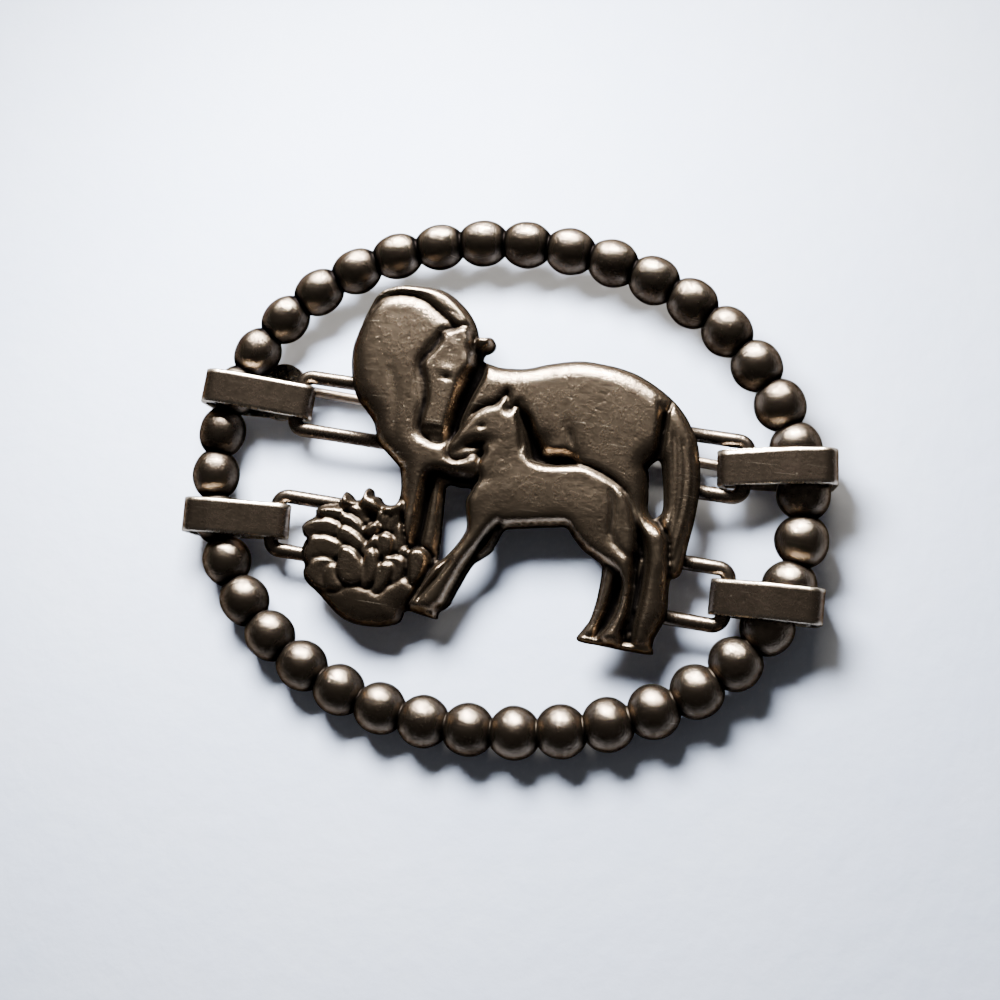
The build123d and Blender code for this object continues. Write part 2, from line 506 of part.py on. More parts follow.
def plaque_nodes():
    """Grid corners fitted to the outline, the kept cells and the rings of edge corners."""
    curves = figure_curves()
    corners, kept = cells_inside(curves)
    loops = edge_loops(kept)
    fixed = np.zeros(corners.shape[:2], bool)
    for loop in loops:
        ring = np.array([corners[corner] for corner in loop])
        curve = min(curves, key=lambda one: np.abs(distance_to(ring, one)[0]).mean())
        _, nearest = distance_to(ring, curve)
        for corner, point in zip(loop, evened(nearest, curve)):
            corners[corner] = point
            fixed[corner] = True
    used = np.zeros_like(fixed)
    for shift_x in (0, 1):
        for shift_y in (0, 1):
            used[shift_x:shift_x + kept.shape[0], shift_y:shift_y + kept.shape[1]] |= kept
    free = used & ~fixed
    for _ in range(settling_rounds):
        neighbours = (np.roll(corners, 1, 0) + np.roll(corners, -1, 0)
                      + np.roll(corners, 1, 1) + np.roll(corners, -1, 1)) / 4
        corners = np.where(free[..., None], (corners + neighbours) / 2, corners)
    return curves, corners, kept, used, fixed, loops


def triangles_of(cell, points):
    """Two triangles for a cell, split along the better diagonal."""
    column, row = cell
    ring = [(column, row), (column + 1, row), (column + 1, row + 1), (column, row + 1)]
    first = [(ring[0], ring[1], ring[2]), (ring[0], ring[2], ring[3])]
    second = [(ring[0], ring[1], ring[3]), (ring[1], ring[2], ring[3])]

    def smallest_area(pair):
        return min(flat_area(*[points[corner] for corner in triangle]) for triangle in pair)

    def step(one, other):
        return abs(points[one][2] - points[other][2])

    if smallest_area(first) < sliver_share * smallest_area(second):
        return second
    if smallest_area(second) < sliver_share * smallest_area(first):
        return first
    return first if step(ring[0], ring[2]) <= step(ring[1], ring[3]) else second


def flat_area(one, two, three):
    return ((two[0] - one[0]) * (three[1] - one[1]) - (two[1] - one[1]) * (three[0] - one[0])) / 2


def plaque_with_loops():
    """The cast plaque with its four wire loops soldered behind it, as one solid."""
    curves, corners, kept, used, fixed, loops = plaque_nodes()
    chosen = np.argwhere(used)
    places = corners[used]
    rim, _ = distance_in_figure(places, curves)
    height = relief_height(places, rim)
    back = wire_radius - solder_bite
    points = {}
    for corner, place, rise in zip(map(tuple, chosen), places, height):
        rise = plate_thickness if fixed[corner] else rise
        points[corner] = (float(place[0]), float(place[1]), float(back + rise))
    plate = plate_under(loops, points, back)
    wires = [wire_loop(side, middle) for side in (-1, 1) for middle in (upper_loop_middle, lower_loop_middle)]
    backed = plate.fuse(*wires).solids()[0]
    top = back + plate_thickness
    shell = [face for face in backed.faces()
             if face.bounding_box().min.Z < top - plate_thickness / 2]
    for cell in zip(*np.nonzero(kept)):
        for triangle in triangles_of(cell, points):
            shell.append(Face(Wire.make_polygon([points[corner] for corner in triangle])))
    return Solid(Shell(shell))


def plate_under(loops, points, back):
    """The flat plate that the relief stands on, cut to the figure's outline."""
    rings = []
    for loop in loops:
        rings.append(Wire.make_polygon([(points[corner][0], points[corner][1], back) for corner in loop]))
    rings.sort(key=lambda ring: ring.bounding_box().diagonal)
    return extrude(Face(rings[-1], rings[:-1]), plate_thickness, dir=(0, 0, 1))


def ring_point(turn):
    """A point of the ring's centre line at an angle from its middle."""
    swell = 1 + sum(wave.along * math.cos(wave.lobes * turn) + wave.across * math.sin(wave.lobes * turn)
                    for wave in RING_WAVES)
    return ring_half_width * math.cos(turn) * swell, ring_half_height * math.sin(turn) * swell


def ring_line():
    """The ring's centre line in fine steps, and the distance run at each of them."""
    line = np.array([ring_point(turn) for turn in np.linspace(0, 2 * math.pi, 1441)])
    run = np.concatenate([[0], np.cumsum(np.linalg.norm(np.diff(line, axis=0), axis=1))])
    return line, run


def ring_beads():
    """Middle and radius of each bead, evenly spaced along the ring."""
    line, run = ring_line()
    beads = []
    for index in range(bead_count):
        place = (bead_start - index / bead_count) % 1 * run[-1]
        x, y = np.interp(place, run, line[:, 0]), np.interp(place, run, line[:, 1])
        radius = bead_radius * (1 + bead_swell * math.cos(math.atan2(y, x) + math.pi / 4))
        beads.append((float(x), float(y), radius))
    return beads


def ring_place(side, height):
    """The point of the ring's centre line at a height, on the left (-1) or right (1)."""
    line, _ = ring_line()
    half = line[line[:, 0] * side > 0]
    half = half[np.argsort(half[:, 1])]
    return float(np.interp(height, half[:, 1], half[:, 0])), height


def beaded_ring():
    """Round beads with a short neck between each two."""
    beads = ring_beads()
    solids = []
    for bead, following in zip(beads, beads[1:] + beads[:1]):
        outward = math.degrees(math.atan2(bead[1], bead[0]))
        solids.append(Location((bead[0], bead[1], 0), (0, 0, outward)) * Solid.make_sphere(bead[2], angle1=-90))
        along = Vector(following[0] - bead[0], following[1] - bead[1], 0)
        start = math.sqrt(bead[2] ** 2 - neck_radius ** 2) - solder_bite
        end = along.length - math.sqrt(following[2] ** 2 - neck_radius ** 2) + solder_bite
        foot = Vector(bead[0], bead[1], 0) + along.normalized() * start
        solids.append(Solid.make_cylinder(neck_radius, end - start, Plane(foot, z_dir=along)))
    return solids[0].fuse(*solids[1:]).solids()[0]


def band_frame(band):
    """Where a band runs: its place on the ring, its direction, and the middle of its inner end."""
    start = Vector(*ring_place(band.side, band.ring_end * ring_half_height), 0)
    wire_x = loop_end(band.side)
    end = Vector(wire_x - band.side * band.play, band.loop_middle + band.loop_shift * ring_half_height, 0)
    return start, (end - start).normalized(), (end - start).length


def loop_end(side):
    """Where the wire's centre line runs across at the end of the loops of one side."""
    reach = left_band_reach if side < 0 else right_band_reach
    inner = min(abs(ring_place(side, middle)[0]) for middle in (upper_loop_middle, lower_loop_middle))
    return side * (inner - reach)


def band_rounds(band):
    """Circles that a band is wrapped round: along it, up, and radius."""
    start, way, length = band_frame(band)
    side_way = Vector(-way.Y, way.X, 0)
    rounds = []
    for x, y, radius in ring_beads():
        offset = Vector(x, y, 0) - start
        aside = max(0, abs(offset.dot(side_way)) - band_width / 2)
        if aside < radius and offset.length < length:
            rounds.append((offset.dot(way), 0, math.sqrt(radius ** 2 - aside ** 2)))
    outer = min(along - radius for along, _, radius in rounds)
    top = max(radius for _, _, radius in rounds)
    for up in (-1, 1):
        rounds.append((outer + band_corner_radius, up * (top - band_corner_radius), band_corner_radius))
    rounds.append((length, 0, wire_radius))
    return rounds


def wrapped(rounds, grow, plane):
    """The face of a tight wrap round circles grown by a distance."""
    with BuildSketch(plane) as outline:
        for along, up, radius in rounds:
            with Locations((along, up)):
                Circle(radius + grow)
        make_hull(mode=Mode.REPLACE)
    return outline.sketch.face()


def band_solid(band):
    """A flat strap folded round the ring and round the end of a wire loop."""
    start, way, _ = band_frame(band)
    plane = Plane(start, x_dir=way, z_dir=Vector(way.Y, -way.X, 0))
    rounds = band_rounds(band)
    outside = extrude(wrapped(rounds, running_gap + band_thickness, plane), band_width / 2, both=True)
    inside = extrude(wrapped(rounds, running_gap, plane), band_width, both=True)
    outer_edges = outside.edges().filter_by(lambda edge: abs(plane.to_local_coords(edge.center()).Z) > 0.1)
    return fillet(outer_edges, band_edge_round) - inside


def band_drop(band, along):
    """How far below the ring's centre plane a band's underside lies, at a distance along it.

    The underside there is straight, and touches one of the circles at the ring and the wire's.
    """
    wall = running_gap + band_thickness
    rounds = band_rounds(band)
    wire_along, _, wire = rounds[-1]
    drops = []
    for place, up, radius in rounds[:-1]:
        run = math.hypot(wire_along - place, up)
        lean = math.asin((radius - wire) / run) - math.atan2(up, wire_along - place)
        drops.append((radius + wall - (along - place) * math.sin(lean)) / math.cos(lean) - up)
    return max(drops)


def wire_loop(side, middle):
    """A bent wire, open towards the plaque, where both its ends are soldered on."""
    outer = loop_end(side)
    inner = left_wire_end if side < 0 else right_wire_end
    bend = outer - side * loop_corner_radius
    corner = loop_corner_radius * (1 - math.sqrt(0.5))
    half = loop_height / 2 - wire_radius
    upper, lower = middle + half, middle - half
    path = Wire([
        Edge.make_line((inner, upper), (bend, upper)),
        Edge.make_three_point_arc((bend, upper), (outer - side * corner, upper - corner),
                                  (outer, upper - loop_corner_radius)),
        Edge.make_line((outer, upper - loop_corner_radius), (outer, lower + loop_corner_radius)),
        Edge.make_three_point_arc((outer, lower + loop_corner_radius), (outer - side * corner, lower + corner),
                                  (bend, lower)),
        Edge.make_line((bend, lower), (inner, lower)),
    ])
    section = Plane((inner, upper, 0), z_dir=(side, 0, 0)) * Circle(wire_radius)
    return sweep(section, path=path).solids()[0]


def pin_line():
    """Where the pin lies: the middles of its hinge and of its catch, on its axis."""
    left_start, left_way, _ = band_frame(BANDS[0])
    right_start, right_way, _ = band_frame(BANDS[2])
    below_hinge = pad_depth(hinge_inset + ear_length / 2) + running_gap + knuckle_radius
    below_catch = band_drop(BANDS[2], catch_inset) + running_gap + pin_radius
    tip_inset = catch_inset - catch_width / 2 - pin_overhang
    below_tip = band_drop(BANDS[2], tip_inset) + running_gap + pin_tip_radius
    depth = max(below_hinge, below_catch, below_tip)
    hinge = left_start + left_way * hinge_inset
    catch = right_start + right_way * catch_inset
    return Vector(hinge.X, hinge.Y + hinge_rise, -depth), Vector(catch.X, catch.Y, -depth)


def pad_depth(along):
    """How far below the ring's centre plane the pad's underside lies."""
    return band_drop(BANDS[0], along) + pad_thickness


def foot_height():
    """How far the hinge's ears and the catch reach below the pin's axis."""
    return pin_radius + running_gap + catch_wall


def hinge_fittings():
    """The round pad and the two ears of the hinge, soldered to the upper left band."""
    start, way, _ = band_frame(BANDS[0])
    fall = pad_depth(0) - pad_depth(1)
    middle = start + way * pad_inset
    underside = (middle.X, middle.Y + pad_rise, -pad_depth(pad_inset))
    under_pad = Plane(underside, z_dir=(-fall * way.X, -fall * way.Y, 1))
    fittings = [Solid.make_cylinder(pad_radius, pad_thickness + solder_bite, under_pad)]
    hinge, _ = pin_line()
    foot = hinge.Z - foot_height()
    roof = -pad_depth(hinge_inset) + pad_thickness / 2
    spread = knuckle_width / 2 + running_gap + ear_thickness / 2
    for side in (-1, 1):
        ear = Box(ear_length, ear_thickness, roof - foot, align=(Align.CENTER, Align.CENTER, Align.MIN))
        hole = Cylinder(axle_radius + running_gap, 2 * ear_thickness)
        bore = Pos(0, 0, foot_height()) * Rot(90, 0, 0) * hole
        fittings.append(Pos(hinge.X, hinge.Y + side * spread, foot) * (ear - bore))
    return fittings


def catch_hook():
    """The plain hook under the upper right band that the pin lies in."""
    _, catch = pin_line()
    inner = pin_radius + running_gap
    outer = inner + catch_wall
    roof = -band_drop(BANDS[2], catch_inset) + band_thickness / 2
    with BuildSketch(Plane((catch.X, catch.Y, catch.Z), x_dir=(0, 1, 0), z_dir=(1, 0, 0))) as profile:
        Circle(outer)
        Circle(inner, mode=Mode.SUBTRACT)
        Rectangle(4 * outer, 2 * outer, align=(Align.CENTER, Align.MIN), mode=Mode.SUBTRACT)
        with Locations(((inner + outer) / 2, 0)):
            Rectangle(catch_wall, roof - catch.Z, align=(Align.CENTER, Align.MIN))
    return extrude(profile.sketch, catch_width / 2, both=True)


def pin_stem():
    """The pin, with the knuckle and the axle that it turns on."""
    hinge, catch = pin_line()
    way = (catch - hinge).normalized()
    length = (catch - hinge).length + catch_width / 2 + pin_overhang
    straight = length - pin_taper_length
    stem = Solid.make_cylinder(pin_radius, straight, Plane(hinge, z_dir=way))
    taper_base = Plane(hinge + way * straight, z_dir=way)
    taper = Solid.make_cone(pin_radius, pin_tip_radius, pin_taper_length, taper_base)
    knuckle = Pos(*hinge) * Rot(90, 0, 0) * Cylinder(knuckle_radius, knuckle_width)
    axle_length = knuckle_width + 2 * (running_gap + ear_thickness)
    axle = Pos(*hinge) * Rot(90, 0, 0) * Cylinder(axle_radius, axle_length)
    return stem.fuse(taper, knuckle.solid(), axle.solid()).solids()[0]


def build():
    """Every piece of the brooch, by its name, standing on its hinge and catch."""
    pieces = {"beaded_ring": beaded_ring(), "horse_plaque": plaque_with_loops(), "pin_stem": pin_stem()}
    soldered = {"band_upper_left": hinge_fittings(), "band_upper_right": [catch_hook()]}
    for band in BANDS:
        solid = band_solid(band)
        for fitting in soldered.get(band.name, []):
            solid = solid + fitting
        pieces[band.name] = solid.solids()[0]
    whole = Compound(list(pieces.values())).bounding_box()
    stand = Location((-whole.center().X, -whole.center().Y, -whole.min.Z))
    return {name: solid.moved(stand) for name, solid in pieces.items()}


os.makedirs("parts", exist_ok=True)
for name, solid in build().items():
    export_step(solid, f"parts/{name}.step")
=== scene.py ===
import math
from collections import namedtuple
import bpy
import bmesh
import numpy as np
from mathutils import Matrix, Vector, noise


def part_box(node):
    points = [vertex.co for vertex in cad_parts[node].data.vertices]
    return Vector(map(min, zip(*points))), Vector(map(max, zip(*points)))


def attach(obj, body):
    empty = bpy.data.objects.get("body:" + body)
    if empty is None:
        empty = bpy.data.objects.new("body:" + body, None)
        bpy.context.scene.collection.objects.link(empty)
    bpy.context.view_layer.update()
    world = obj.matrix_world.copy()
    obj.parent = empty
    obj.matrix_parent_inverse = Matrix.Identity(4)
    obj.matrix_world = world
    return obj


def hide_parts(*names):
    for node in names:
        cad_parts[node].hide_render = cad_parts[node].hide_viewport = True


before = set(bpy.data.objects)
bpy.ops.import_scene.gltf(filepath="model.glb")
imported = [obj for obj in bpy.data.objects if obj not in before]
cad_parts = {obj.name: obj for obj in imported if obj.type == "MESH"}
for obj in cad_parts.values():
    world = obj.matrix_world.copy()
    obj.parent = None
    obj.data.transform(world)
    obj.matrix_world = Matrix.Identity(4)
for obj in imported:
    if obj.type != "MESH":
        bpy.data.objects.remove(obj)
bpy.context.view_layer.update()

# Beaded ring
# The frame is one casting of round silver beads with short necks, bent to an oval. Its beads
# are satin. The necks between them are painted black, as patina and as painted shade, and the
# lower side of each bead is painted dark as painted shade. Every piece is placed in millimetres
# from the ring's middle, in the ring's own plane, and then moved into the frame's metres.
MM = 0.001
ring_low, ring_high = (Vector(corner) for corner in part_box("beaded_ring"))
ring_plane = (ring_low.z + ring_high.z) / 2 / MM
ring_half_width = 22.6
ring_half_height = 18.7
ring_line_steps = 1440
bead_count = 38
bead_radius = 1.88
bead_swell = 0.065
bead_start = 0.442
neck_radius = 1.0
bead_bends = 22
bead_sides = 40
ripples_per_mm = 0.9
ripple_height = 0.03
# Where the necks begin to be painted black and over what width, below what height the beads' lower sides are
# painted dark as painted shade, and the darkest share there
neck_dark_from = 0.5
neck_dark_width = 0.36
side_dark_below = 0.7
side_darkest = 0.9
Wave = namedtuple("Wave", "lobes along across")
RING_WAVES = [
    Wave(3, 0.007, -0.007),
    Wave(4, -0.007, -0.004),
]


def ring_point(turn):
    """A point of the ring's centre line at an angle from its middle."""
    swell = 1 + sum(wave.along * math.cos(wave.lobes * turn) + wave.across * math.sin(wave.lobes * turn)
                    for wave in RING_WAVES)
    return ring_half_width * math.cos(turn) * swell, ring_half_height * math.sin(turn) * swell


ring_line = np.array([ring_point(turn) for turn in np.linspace(0, 2 * math.pi, ring_line_steps + 1)])
ring_run = np.concatenate([[0], np.cumsum(np.linalg.norm(np.diff(ring_line, axis=0), axis=1))])
ring_length = ring_run[-1]


def along_ring(run):
    """The point of the centre line after a run from its right-hand end."""
    run = run % ring_length
    return [float(np.interp(run, ring_run, ring_line[:, axis])) for axis in (0, 1)]


beads = []
for index in range(bead_count):
    run = (bead_start - index / bead_count) * ring_length
    x, y = along_ring(run)
    beads.append((run, x, y, bead_radius * (1 + bead_swell * math.cos(math.atan2(y, x) + math.pi / 4))))
bead_box = [max(x + radius for _, x, y, radius in beads), min(x - radius for _, x, y, radius in beads),
            max(y + radius for _, x, y, radius in beads), min(y - radius for _, x, y, radius in beads)]
ring_middle = Vector(((ring_low.x + ring_high.x) / 2 / MM - (bead_box[0] + bead_box[1]) / 2,
                      (ring_low.y + ring_high.y) / 2 / MM - (bead_box[2] + bead_box[3]) / 2, ring_plane))


def in_frame(x, y, z=0.0):
    """A place in millimetres from the ring's middle, in the frame's metres."""
    return (Vector((x, y, z)) + ring_middle) * MM


def wire_form(name, points, radii, sides, closed=True):
    """A round wire along points, as thick at each as its radius says."""
    curve = bpy.data.curves.new(name, "CURVE")
    curve.dimensions = "3D"
    curve.bevel_depth = 1
    curve.bevel_resolution = sides // 4 - 1
    curve.use_fill_caps = not closed
    line = curve.splines.new("POLY")
    line.points.add(len(points) - 1)
    line.use_cyclic_u = closed
    for knot, point, radius in zip(line.points, points, radii):
        knot.co = (*point, 1)
        knot.radius = radius
    carrier = bpy.data.objects.new(name, curve)
    mesh = bpy.data.meshes.new_from_object(carrier)
    form = bmesh.new()
    form.from_mesh(mesh)
    bmesh.ops.remove_doubles(form, verts=form.verts, dist=1e-9)
    bmesh.ops.recalc_face_normals(form, faces=form.faces)
    bpy.data.objects.remove(carrier)
    bpy.data.curves.remove(curve)
    bpy.data.meshes.remove(mesh)
    return form


ring_points, ring_radii = [], []
half_pitch = ring_length / bead_count / 2
for run, x, y, radius in beads:
    reach = math.acos(neck_radius / radius)
    for step in range(bead_bends):
        lean = reach * (1 - 2 * step / bead_bends)
        ring_points.append(in_frame(*along_ring(run + half_pitch * math.sin(lean) / math.sin(reach))))
        ring_radii.append(radius * math.cos(lean) * MM)
ring_form = wire_form("beaded_ring", ring_points, ring_radii, bead_sides)
for vert in ring_form.verts:
    vert.co += vert.normal * noise.noise(vert.co / MM * ripples_per_mm) * ripple_height * MM
# Each vertex carries a share of black: patina and painted shade in the necks, painted shade on the lower
# sides of the beads
ring_tarnish_and_shade = ring_form.verts.layers.float.new("hollow")
bead_middles = [in_frame(x, y) for _, x, y, _ in beads]
for vert in ring_form.verts:
    nearest = min(range(bead_count), key=lambda index: (bead_middles[index] - vert.co).length_squared)
    middle, radius = bead_middles[nearest], beads[nearest][3]
    way = Vector(along_ring(beads[nearest][0] + 0.5)) - Vector(along_ring(beads[nearest][0] - 0.5))
    aside = abs((vert.co - middle).to_2d().dot(way.normalized())) / MM / radius
    height = (vert.co.z - middle.z) / MM / radius
    # Painted dark: the necks as black patina and painted shade, the lower side of each bead as painted shade
    in_neck = min(1, max(0, (aside - neck_dark_from) / neck_dark_width)) ** 1.5
    on_side = min(side_darkest, max(0, (side_dark_below - height) / side_dark_below))
    vert[ring_tarnish_and_shade] = max(in_neck, on_side)


class Finish:
    """An output of a shader node. A sum with it adds the Math node that works it out."""

    def __init__(self, tree, socket=None):
        self.tree = tree
        self.socket = socket

    def node(self, kind, settings=None, values=None, output=0):
        """Adds a node: its settings first, then the numbers or links of its sockets."""
        made = self.tree.nodes.new(kind)
        for name, value in (settings or {}).items():
            setattr(made, name, value)
        for name, value in (values or {}).items():
            if isinstance(value, Finish):
                self.tree.links.new(value.socket, made.inputs[name])
            else:
                made.inputs[name].default_value = value
        return Finish(self.tree, made.outputs[output])

    def maths(self, operation, one, other=0.0):
        """Adds a Math node for an operation on two numbers or outputs."""
        return self.node("ShaderNodeMath", {"operation": operation}, {0: one, 1: other})

    def __add__(self, other):
        return self.maths("ADD", self, other)

    def __radd__(self, other):
        return self.maths("ADD", other, self)

    def __sub__(self, other):
        return self.maths("SUBTRACT", self, other)

    def __rsub__(self, other):
        return self.maths("SUBTRACT", other, self)

    def __mul__(self, other):
        return self.maths("MULTIPLY", self, other)

    def __rmul__(self, other):
        return self.maths("MULTIPLY", other, self)

    def within(self, low, high):
        """This output, stretched so that low gives 0 and high gives 1, and held there."""
        return self.node("ShaderNodeMapRange", {"clamp": True},
                         {"Value": self, "From Min": low, "From Max": high})

    def between(self, one, other):
        """A colour between two, with this output as the share of the second."""
        return self.node("ShaderNodeMix", {"data_type": "RGBA"},
                         {"Factor": self, 6: one, 7: other}, output=2)

    def clouds(self, scale, detail, roughness=0.5):
        """Noise with this output as its place: so many clouds to a metre, and so many finer layers."""
        return self.node("ShaderNodeTexNoise", None,
                         {"Vector": self, "Scale": scale, "Detail": detail, "Roughness": roughness})

    def from_dots(self, scale):
        """Distance from this place to the nearest of many scattered dots, in steps of their scale."""
        return self.node("ShaderNodeTexVoronoi", None, {"Vector": self, "Scale": scale, "Randomness": 1})


def colour(hexadecimal):
    """A colour as it is seen on a screen, in linear light."""
    shares = [int(hexadecimal[place:place + 2], 16) / 255 for place in (0, 2, 4)]
    return (*[share / 12.92 if share <= 0.04045 else ((share + 0.055) / 1.055) ** 2.4
              for share in shares], 1)


def old_silver(name, worn, patina, tarnish_and_shade_colour, rough, marks, grain=1.0, edges=None):
    """Silver that has darkened: mottled, with bright scratches and specks, and dark where the mesh's
    share of black says, which holds black patina and painted shade.

    Marks is how bright the scratches are, and grain how deep the skin of the casting is. For
    a place, edges gives the share of an edge that a bump rounds and a painted highlight lightens.
    """
    material = bpy.data.materials.new(name)
    material.use_nodes = True
    tree = material.node_tree
    surface = tree.nodes["Principled BSDF"]
    start = Finish(tree)
    place = start.node("ShaderNodeTexCoord", output=3)
    # The mesh's share of black: patina in hollows, and painted shade
    hollow = start.node("ShaderNodeAttribute", {"attribute_name": "hollow"}, output=2)
    patches = place.clouds(scale=240, detail=4, roughness=0.6)
    mottle = place.clouds(scale=2000, detail=6, roughness=0.75)
    shade = (patches * 0.4 + mottle * 0.6).within(0.36, 0.64)
    scratches = 0.0
    for turn, thinness in [(0.2, 40), (-0.75, 30), (1.3, 46)]:
        along = start.node("ShaderNodeMapping", None,
                           {"Vector": place, "Rotation": (0, 0, turn), "Scale": (1, thinness, 1)})
        scratches = along.clouds(scale=210, detail=2).within(0.71, 0.77) + scratches
    specks = (1 - place.from_dots(scale=850).within(0.03, 0.08)) * patches.within(0.48, 0.6)
    pits = 1 - place.from_dots(scale=1200).within(0.0, 0.2)
    edge = edges(place) if edges else 0.0
    # Lighter marks: the scratches and specks are wear, and the edge share adds a painted highlight
    bright = ((scratches + specks) * (1 - hollow) * marks + edge * 0.5).within(0, 1)
    # Towards the dark colour where that share says: black patina and painted shade
    ground = hollow.between(shade.between(worn, patina), tarnish_and_shade_colour)
    tree.links.new(bright.between(ground, colour("d9cdbb")).socket, surface.inputs["Base Color"])
    surface.inputs["Metallic"].default_value = 1.0
    surface.inputs["Specular Tint"].default_value = (0.2, 0.185, 0.17, 1)
    gloss = rough + 0.12 * shade + 0.2 * hollow
    tree.links.new(gloss.socket, surface.inputs["Roughness"])
    relief = mottle * 1.3 * grain + patches * 0.4 * grain - pits * 0.5 * grain - edge * edge * 4.0
    bump = start.node("ShaderNodeBump", None, {"Strength": 0.55, "Distance": 0.00008, "Height": relief})
    tree.links.new(bump.socket, surface.inputs["Normal"])
    return material


ring_silver = old_silver("ring silver", worn=colour("6b6156"), patina=colour("352e28"),
                         tarnish_and_shade_colour=colour("080707"), rough=0.17, marks=0.2)


def add_piece(name, form, material, replaced=()):
    """Puts a finished mesh in the scene as a piece of the brooch."""
    mesh = bpy.data.meshes.new(name)
    form.to_mesh(mesh)
    form.free()
    piece = bpy.data.objects.new(name, mesh)
    bpy.context.scene.collection.objects.link(piece)
    mesh.materials.append(material)
    for face in mesh.polygons:
        face.use_smooth = True
    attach(piece, "root")
    for node in replaced:
        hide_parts(node)
    return piece


add_piece("ring_of_beads", ring_form, ring_silver, ["beaded_ring"])

# Horse plaque
# The mare, her foal and the flower bud are one casting in low relief, cut to its outline
# and pierced beside the tail and between the forelegs. Its heights are worn bright. Its
# hollows are painted black, as patina and as painted shade, and its side walls and the band
# along its outline are painted dark as painted shade.
plaque_length = 29.1
plaque_height = 26.3
plaque_middle_x = 0.35
plaque_middle_y = 0.85
face_shrink = 0.016
face_shift_x = 0.23
face_shift_y = -0.23
plate_thickness = 0.6
relief_rise = 1.55
lip_width = 0.12
crease_depth = 0.10
crease_width = 0.9
groove_fade = 3.0
full_depth_height = 0.3
solder_bite = 0.12
wire_radius = 0.55
curve_steps = 8
grain_size = 0.11
spare_grains = 4
edge_rows = 4
edge_rounds = 5
outline_rounds = 12
face_rounds = 3
# The painted shade along the outline, and how the hollows go black, as patina and painted shade
rim_width = 0.16
rim_painted_shade = 0.7
open_tarnish = 0.1
black_depth = 0.095
hollow_rounds = 40

# The figure's outline, clockwise from the mare's neck, in hundredths of the plaque's
# length and height from its lower left corner.
OUTLINE = {
    "mane": [(4.5, 79), (5, 83), (6, 88), (7.2, 92.5), (8.3, 95.2), (10.2, 97.4), (13, 98.9), (16, 99.8),
             (20, 100), (24, 99.9), (27.5, 98.9), (30.3, 97.2), (33, 94.9), (35, 92.5), (36.4, 90)],
    "ear": [(37.3, 87.6), (38.6, 87.4), (40.4, 87.7), (41.6, 87), (42.1, 85.5), (41.7, 84.2), (40.7, 83.2),
            (39.8, 82.7), (39.4, 81.5), (40, 80.4)],
    "back": [(42, 79.8), (45, 79.4), (51, 80.1), (57, 82.4), (63, 84.2), (67, 84.7), (72, 84.5), (76, 84),
             (80, 82.9), (84, 81), (88, 78.5), (91, 76), (93.3, 73.5), (95, 71)],
    "tail": [(97.4, 66.5), (99.1, 59.5), (99.9, 53), (99.8, 45), (99.2, 37), (98.8, 31), (98.3, 29),
             (97.2, 27.9), (96.3, 27.2), (96.3, 24), (96.8, 17.5), (95.4, 12.8), (94.7, 10.5)],
    "rear hooves": [(94.6, 8.2), (94.9, 7.3), (94.4, 6.2), (88, 6), (81, 6.1), (76.8, 6.2), (75.7, 7.2),
                    (76.3, 8.5), (77.4, 10.8), (78.3, 13), (79.1, 19), (79.2, 26), (78.8, 28.2)],
    "belly": [(76.5, 29.8), (74, 31.2), (72, 33), (70.2, 35), (68.9, 36.6), (67.5, 37), (64.5, 36.4),
              (57.5, 34.8), (54.5, 34.1), (53, 33.5), (52.2, 32), (51.5, 29.5), (50.5, 26.5)],
    "front legs": [(48, 23.8), (46.8, 22.6), (45.8, 20.5), (44.8, 17.5), (43, 12), (42.4, 10), (41.2, 8.5),
                   (40.2, 7.6), (39.9, 6.5), (39.6, 5.4), (36, 5.8), (32.5, 6.3), (31.1, 5.8)],
    "bud": [(30.9, 4.5), (30.2, 2.6), (28, 1.3), (25.3, 0.4), (22, 0), (19.5, 0), (16.5, 0.7), (14, 2),
            (11.8, 3.7), (7.6, 7.1), (5.3, 8.6), (3.7, 10.3), (3.1, 12), (3.1, 13.8), (2.2, 15.6),
            (1.5, 18), (1.8, 20.4), (2.2, 21.6), (1.2, 22.4), (0.4, 24.5), (1, 26.2), (2.6, 27.6),
            (3.4, 28.6), (3.2, 30), (4.2, 31.5), (6, 32.5), (8.3, 33.2), (9.3, 34.6), (9.8, 36.2),
            (10.6, 36.8), (12, 36), (13, 35), (14.3, 35.2), (14.9, 36.5), (15.3, 38.2), (16.3, 39),
            (17.3, 38.3), (17.8, 37), (19.4, 36.8), (20.4, 35.6), (21.8, 35), (23.6, 35.4)],
    "chest": [(24.4, 37), (24.5, 40), (23.5, 45.2), (22.6, 46.6), (19, 49.7), (17, 51.4), (15.9, 53),
              (14.9, 55.5), (13.9, 58), (11.6, 60.8), (9.3, 63), (7.7, 65.2), (6.6, 68), (5.6, 71),
              (4.8, 75)],
}
PIERCINGS = {
    "tail slot": [(88.2, 59.8), (86.3, 57.2), (86.8, 55), (87.6, 49), (87.8, 46.5), (88.5, 44.5),
                  (89.8, 43.2), (91, 44.4), (91.6, 46.5), (90.9, 52), (89.6, 58), (89, 59.4)],
    "foreleg gap": [(36.1, 43.3), (39.5, 43.5), (42.7, 43.3), (41.9, 39.5), (43.2, 33), (42.9, 30.3),
                    (41, 26), (38.6, 22.3), (37.4, 22.4), (36.9, 29), (36.5, 34), (36.1, 38.5)],
}

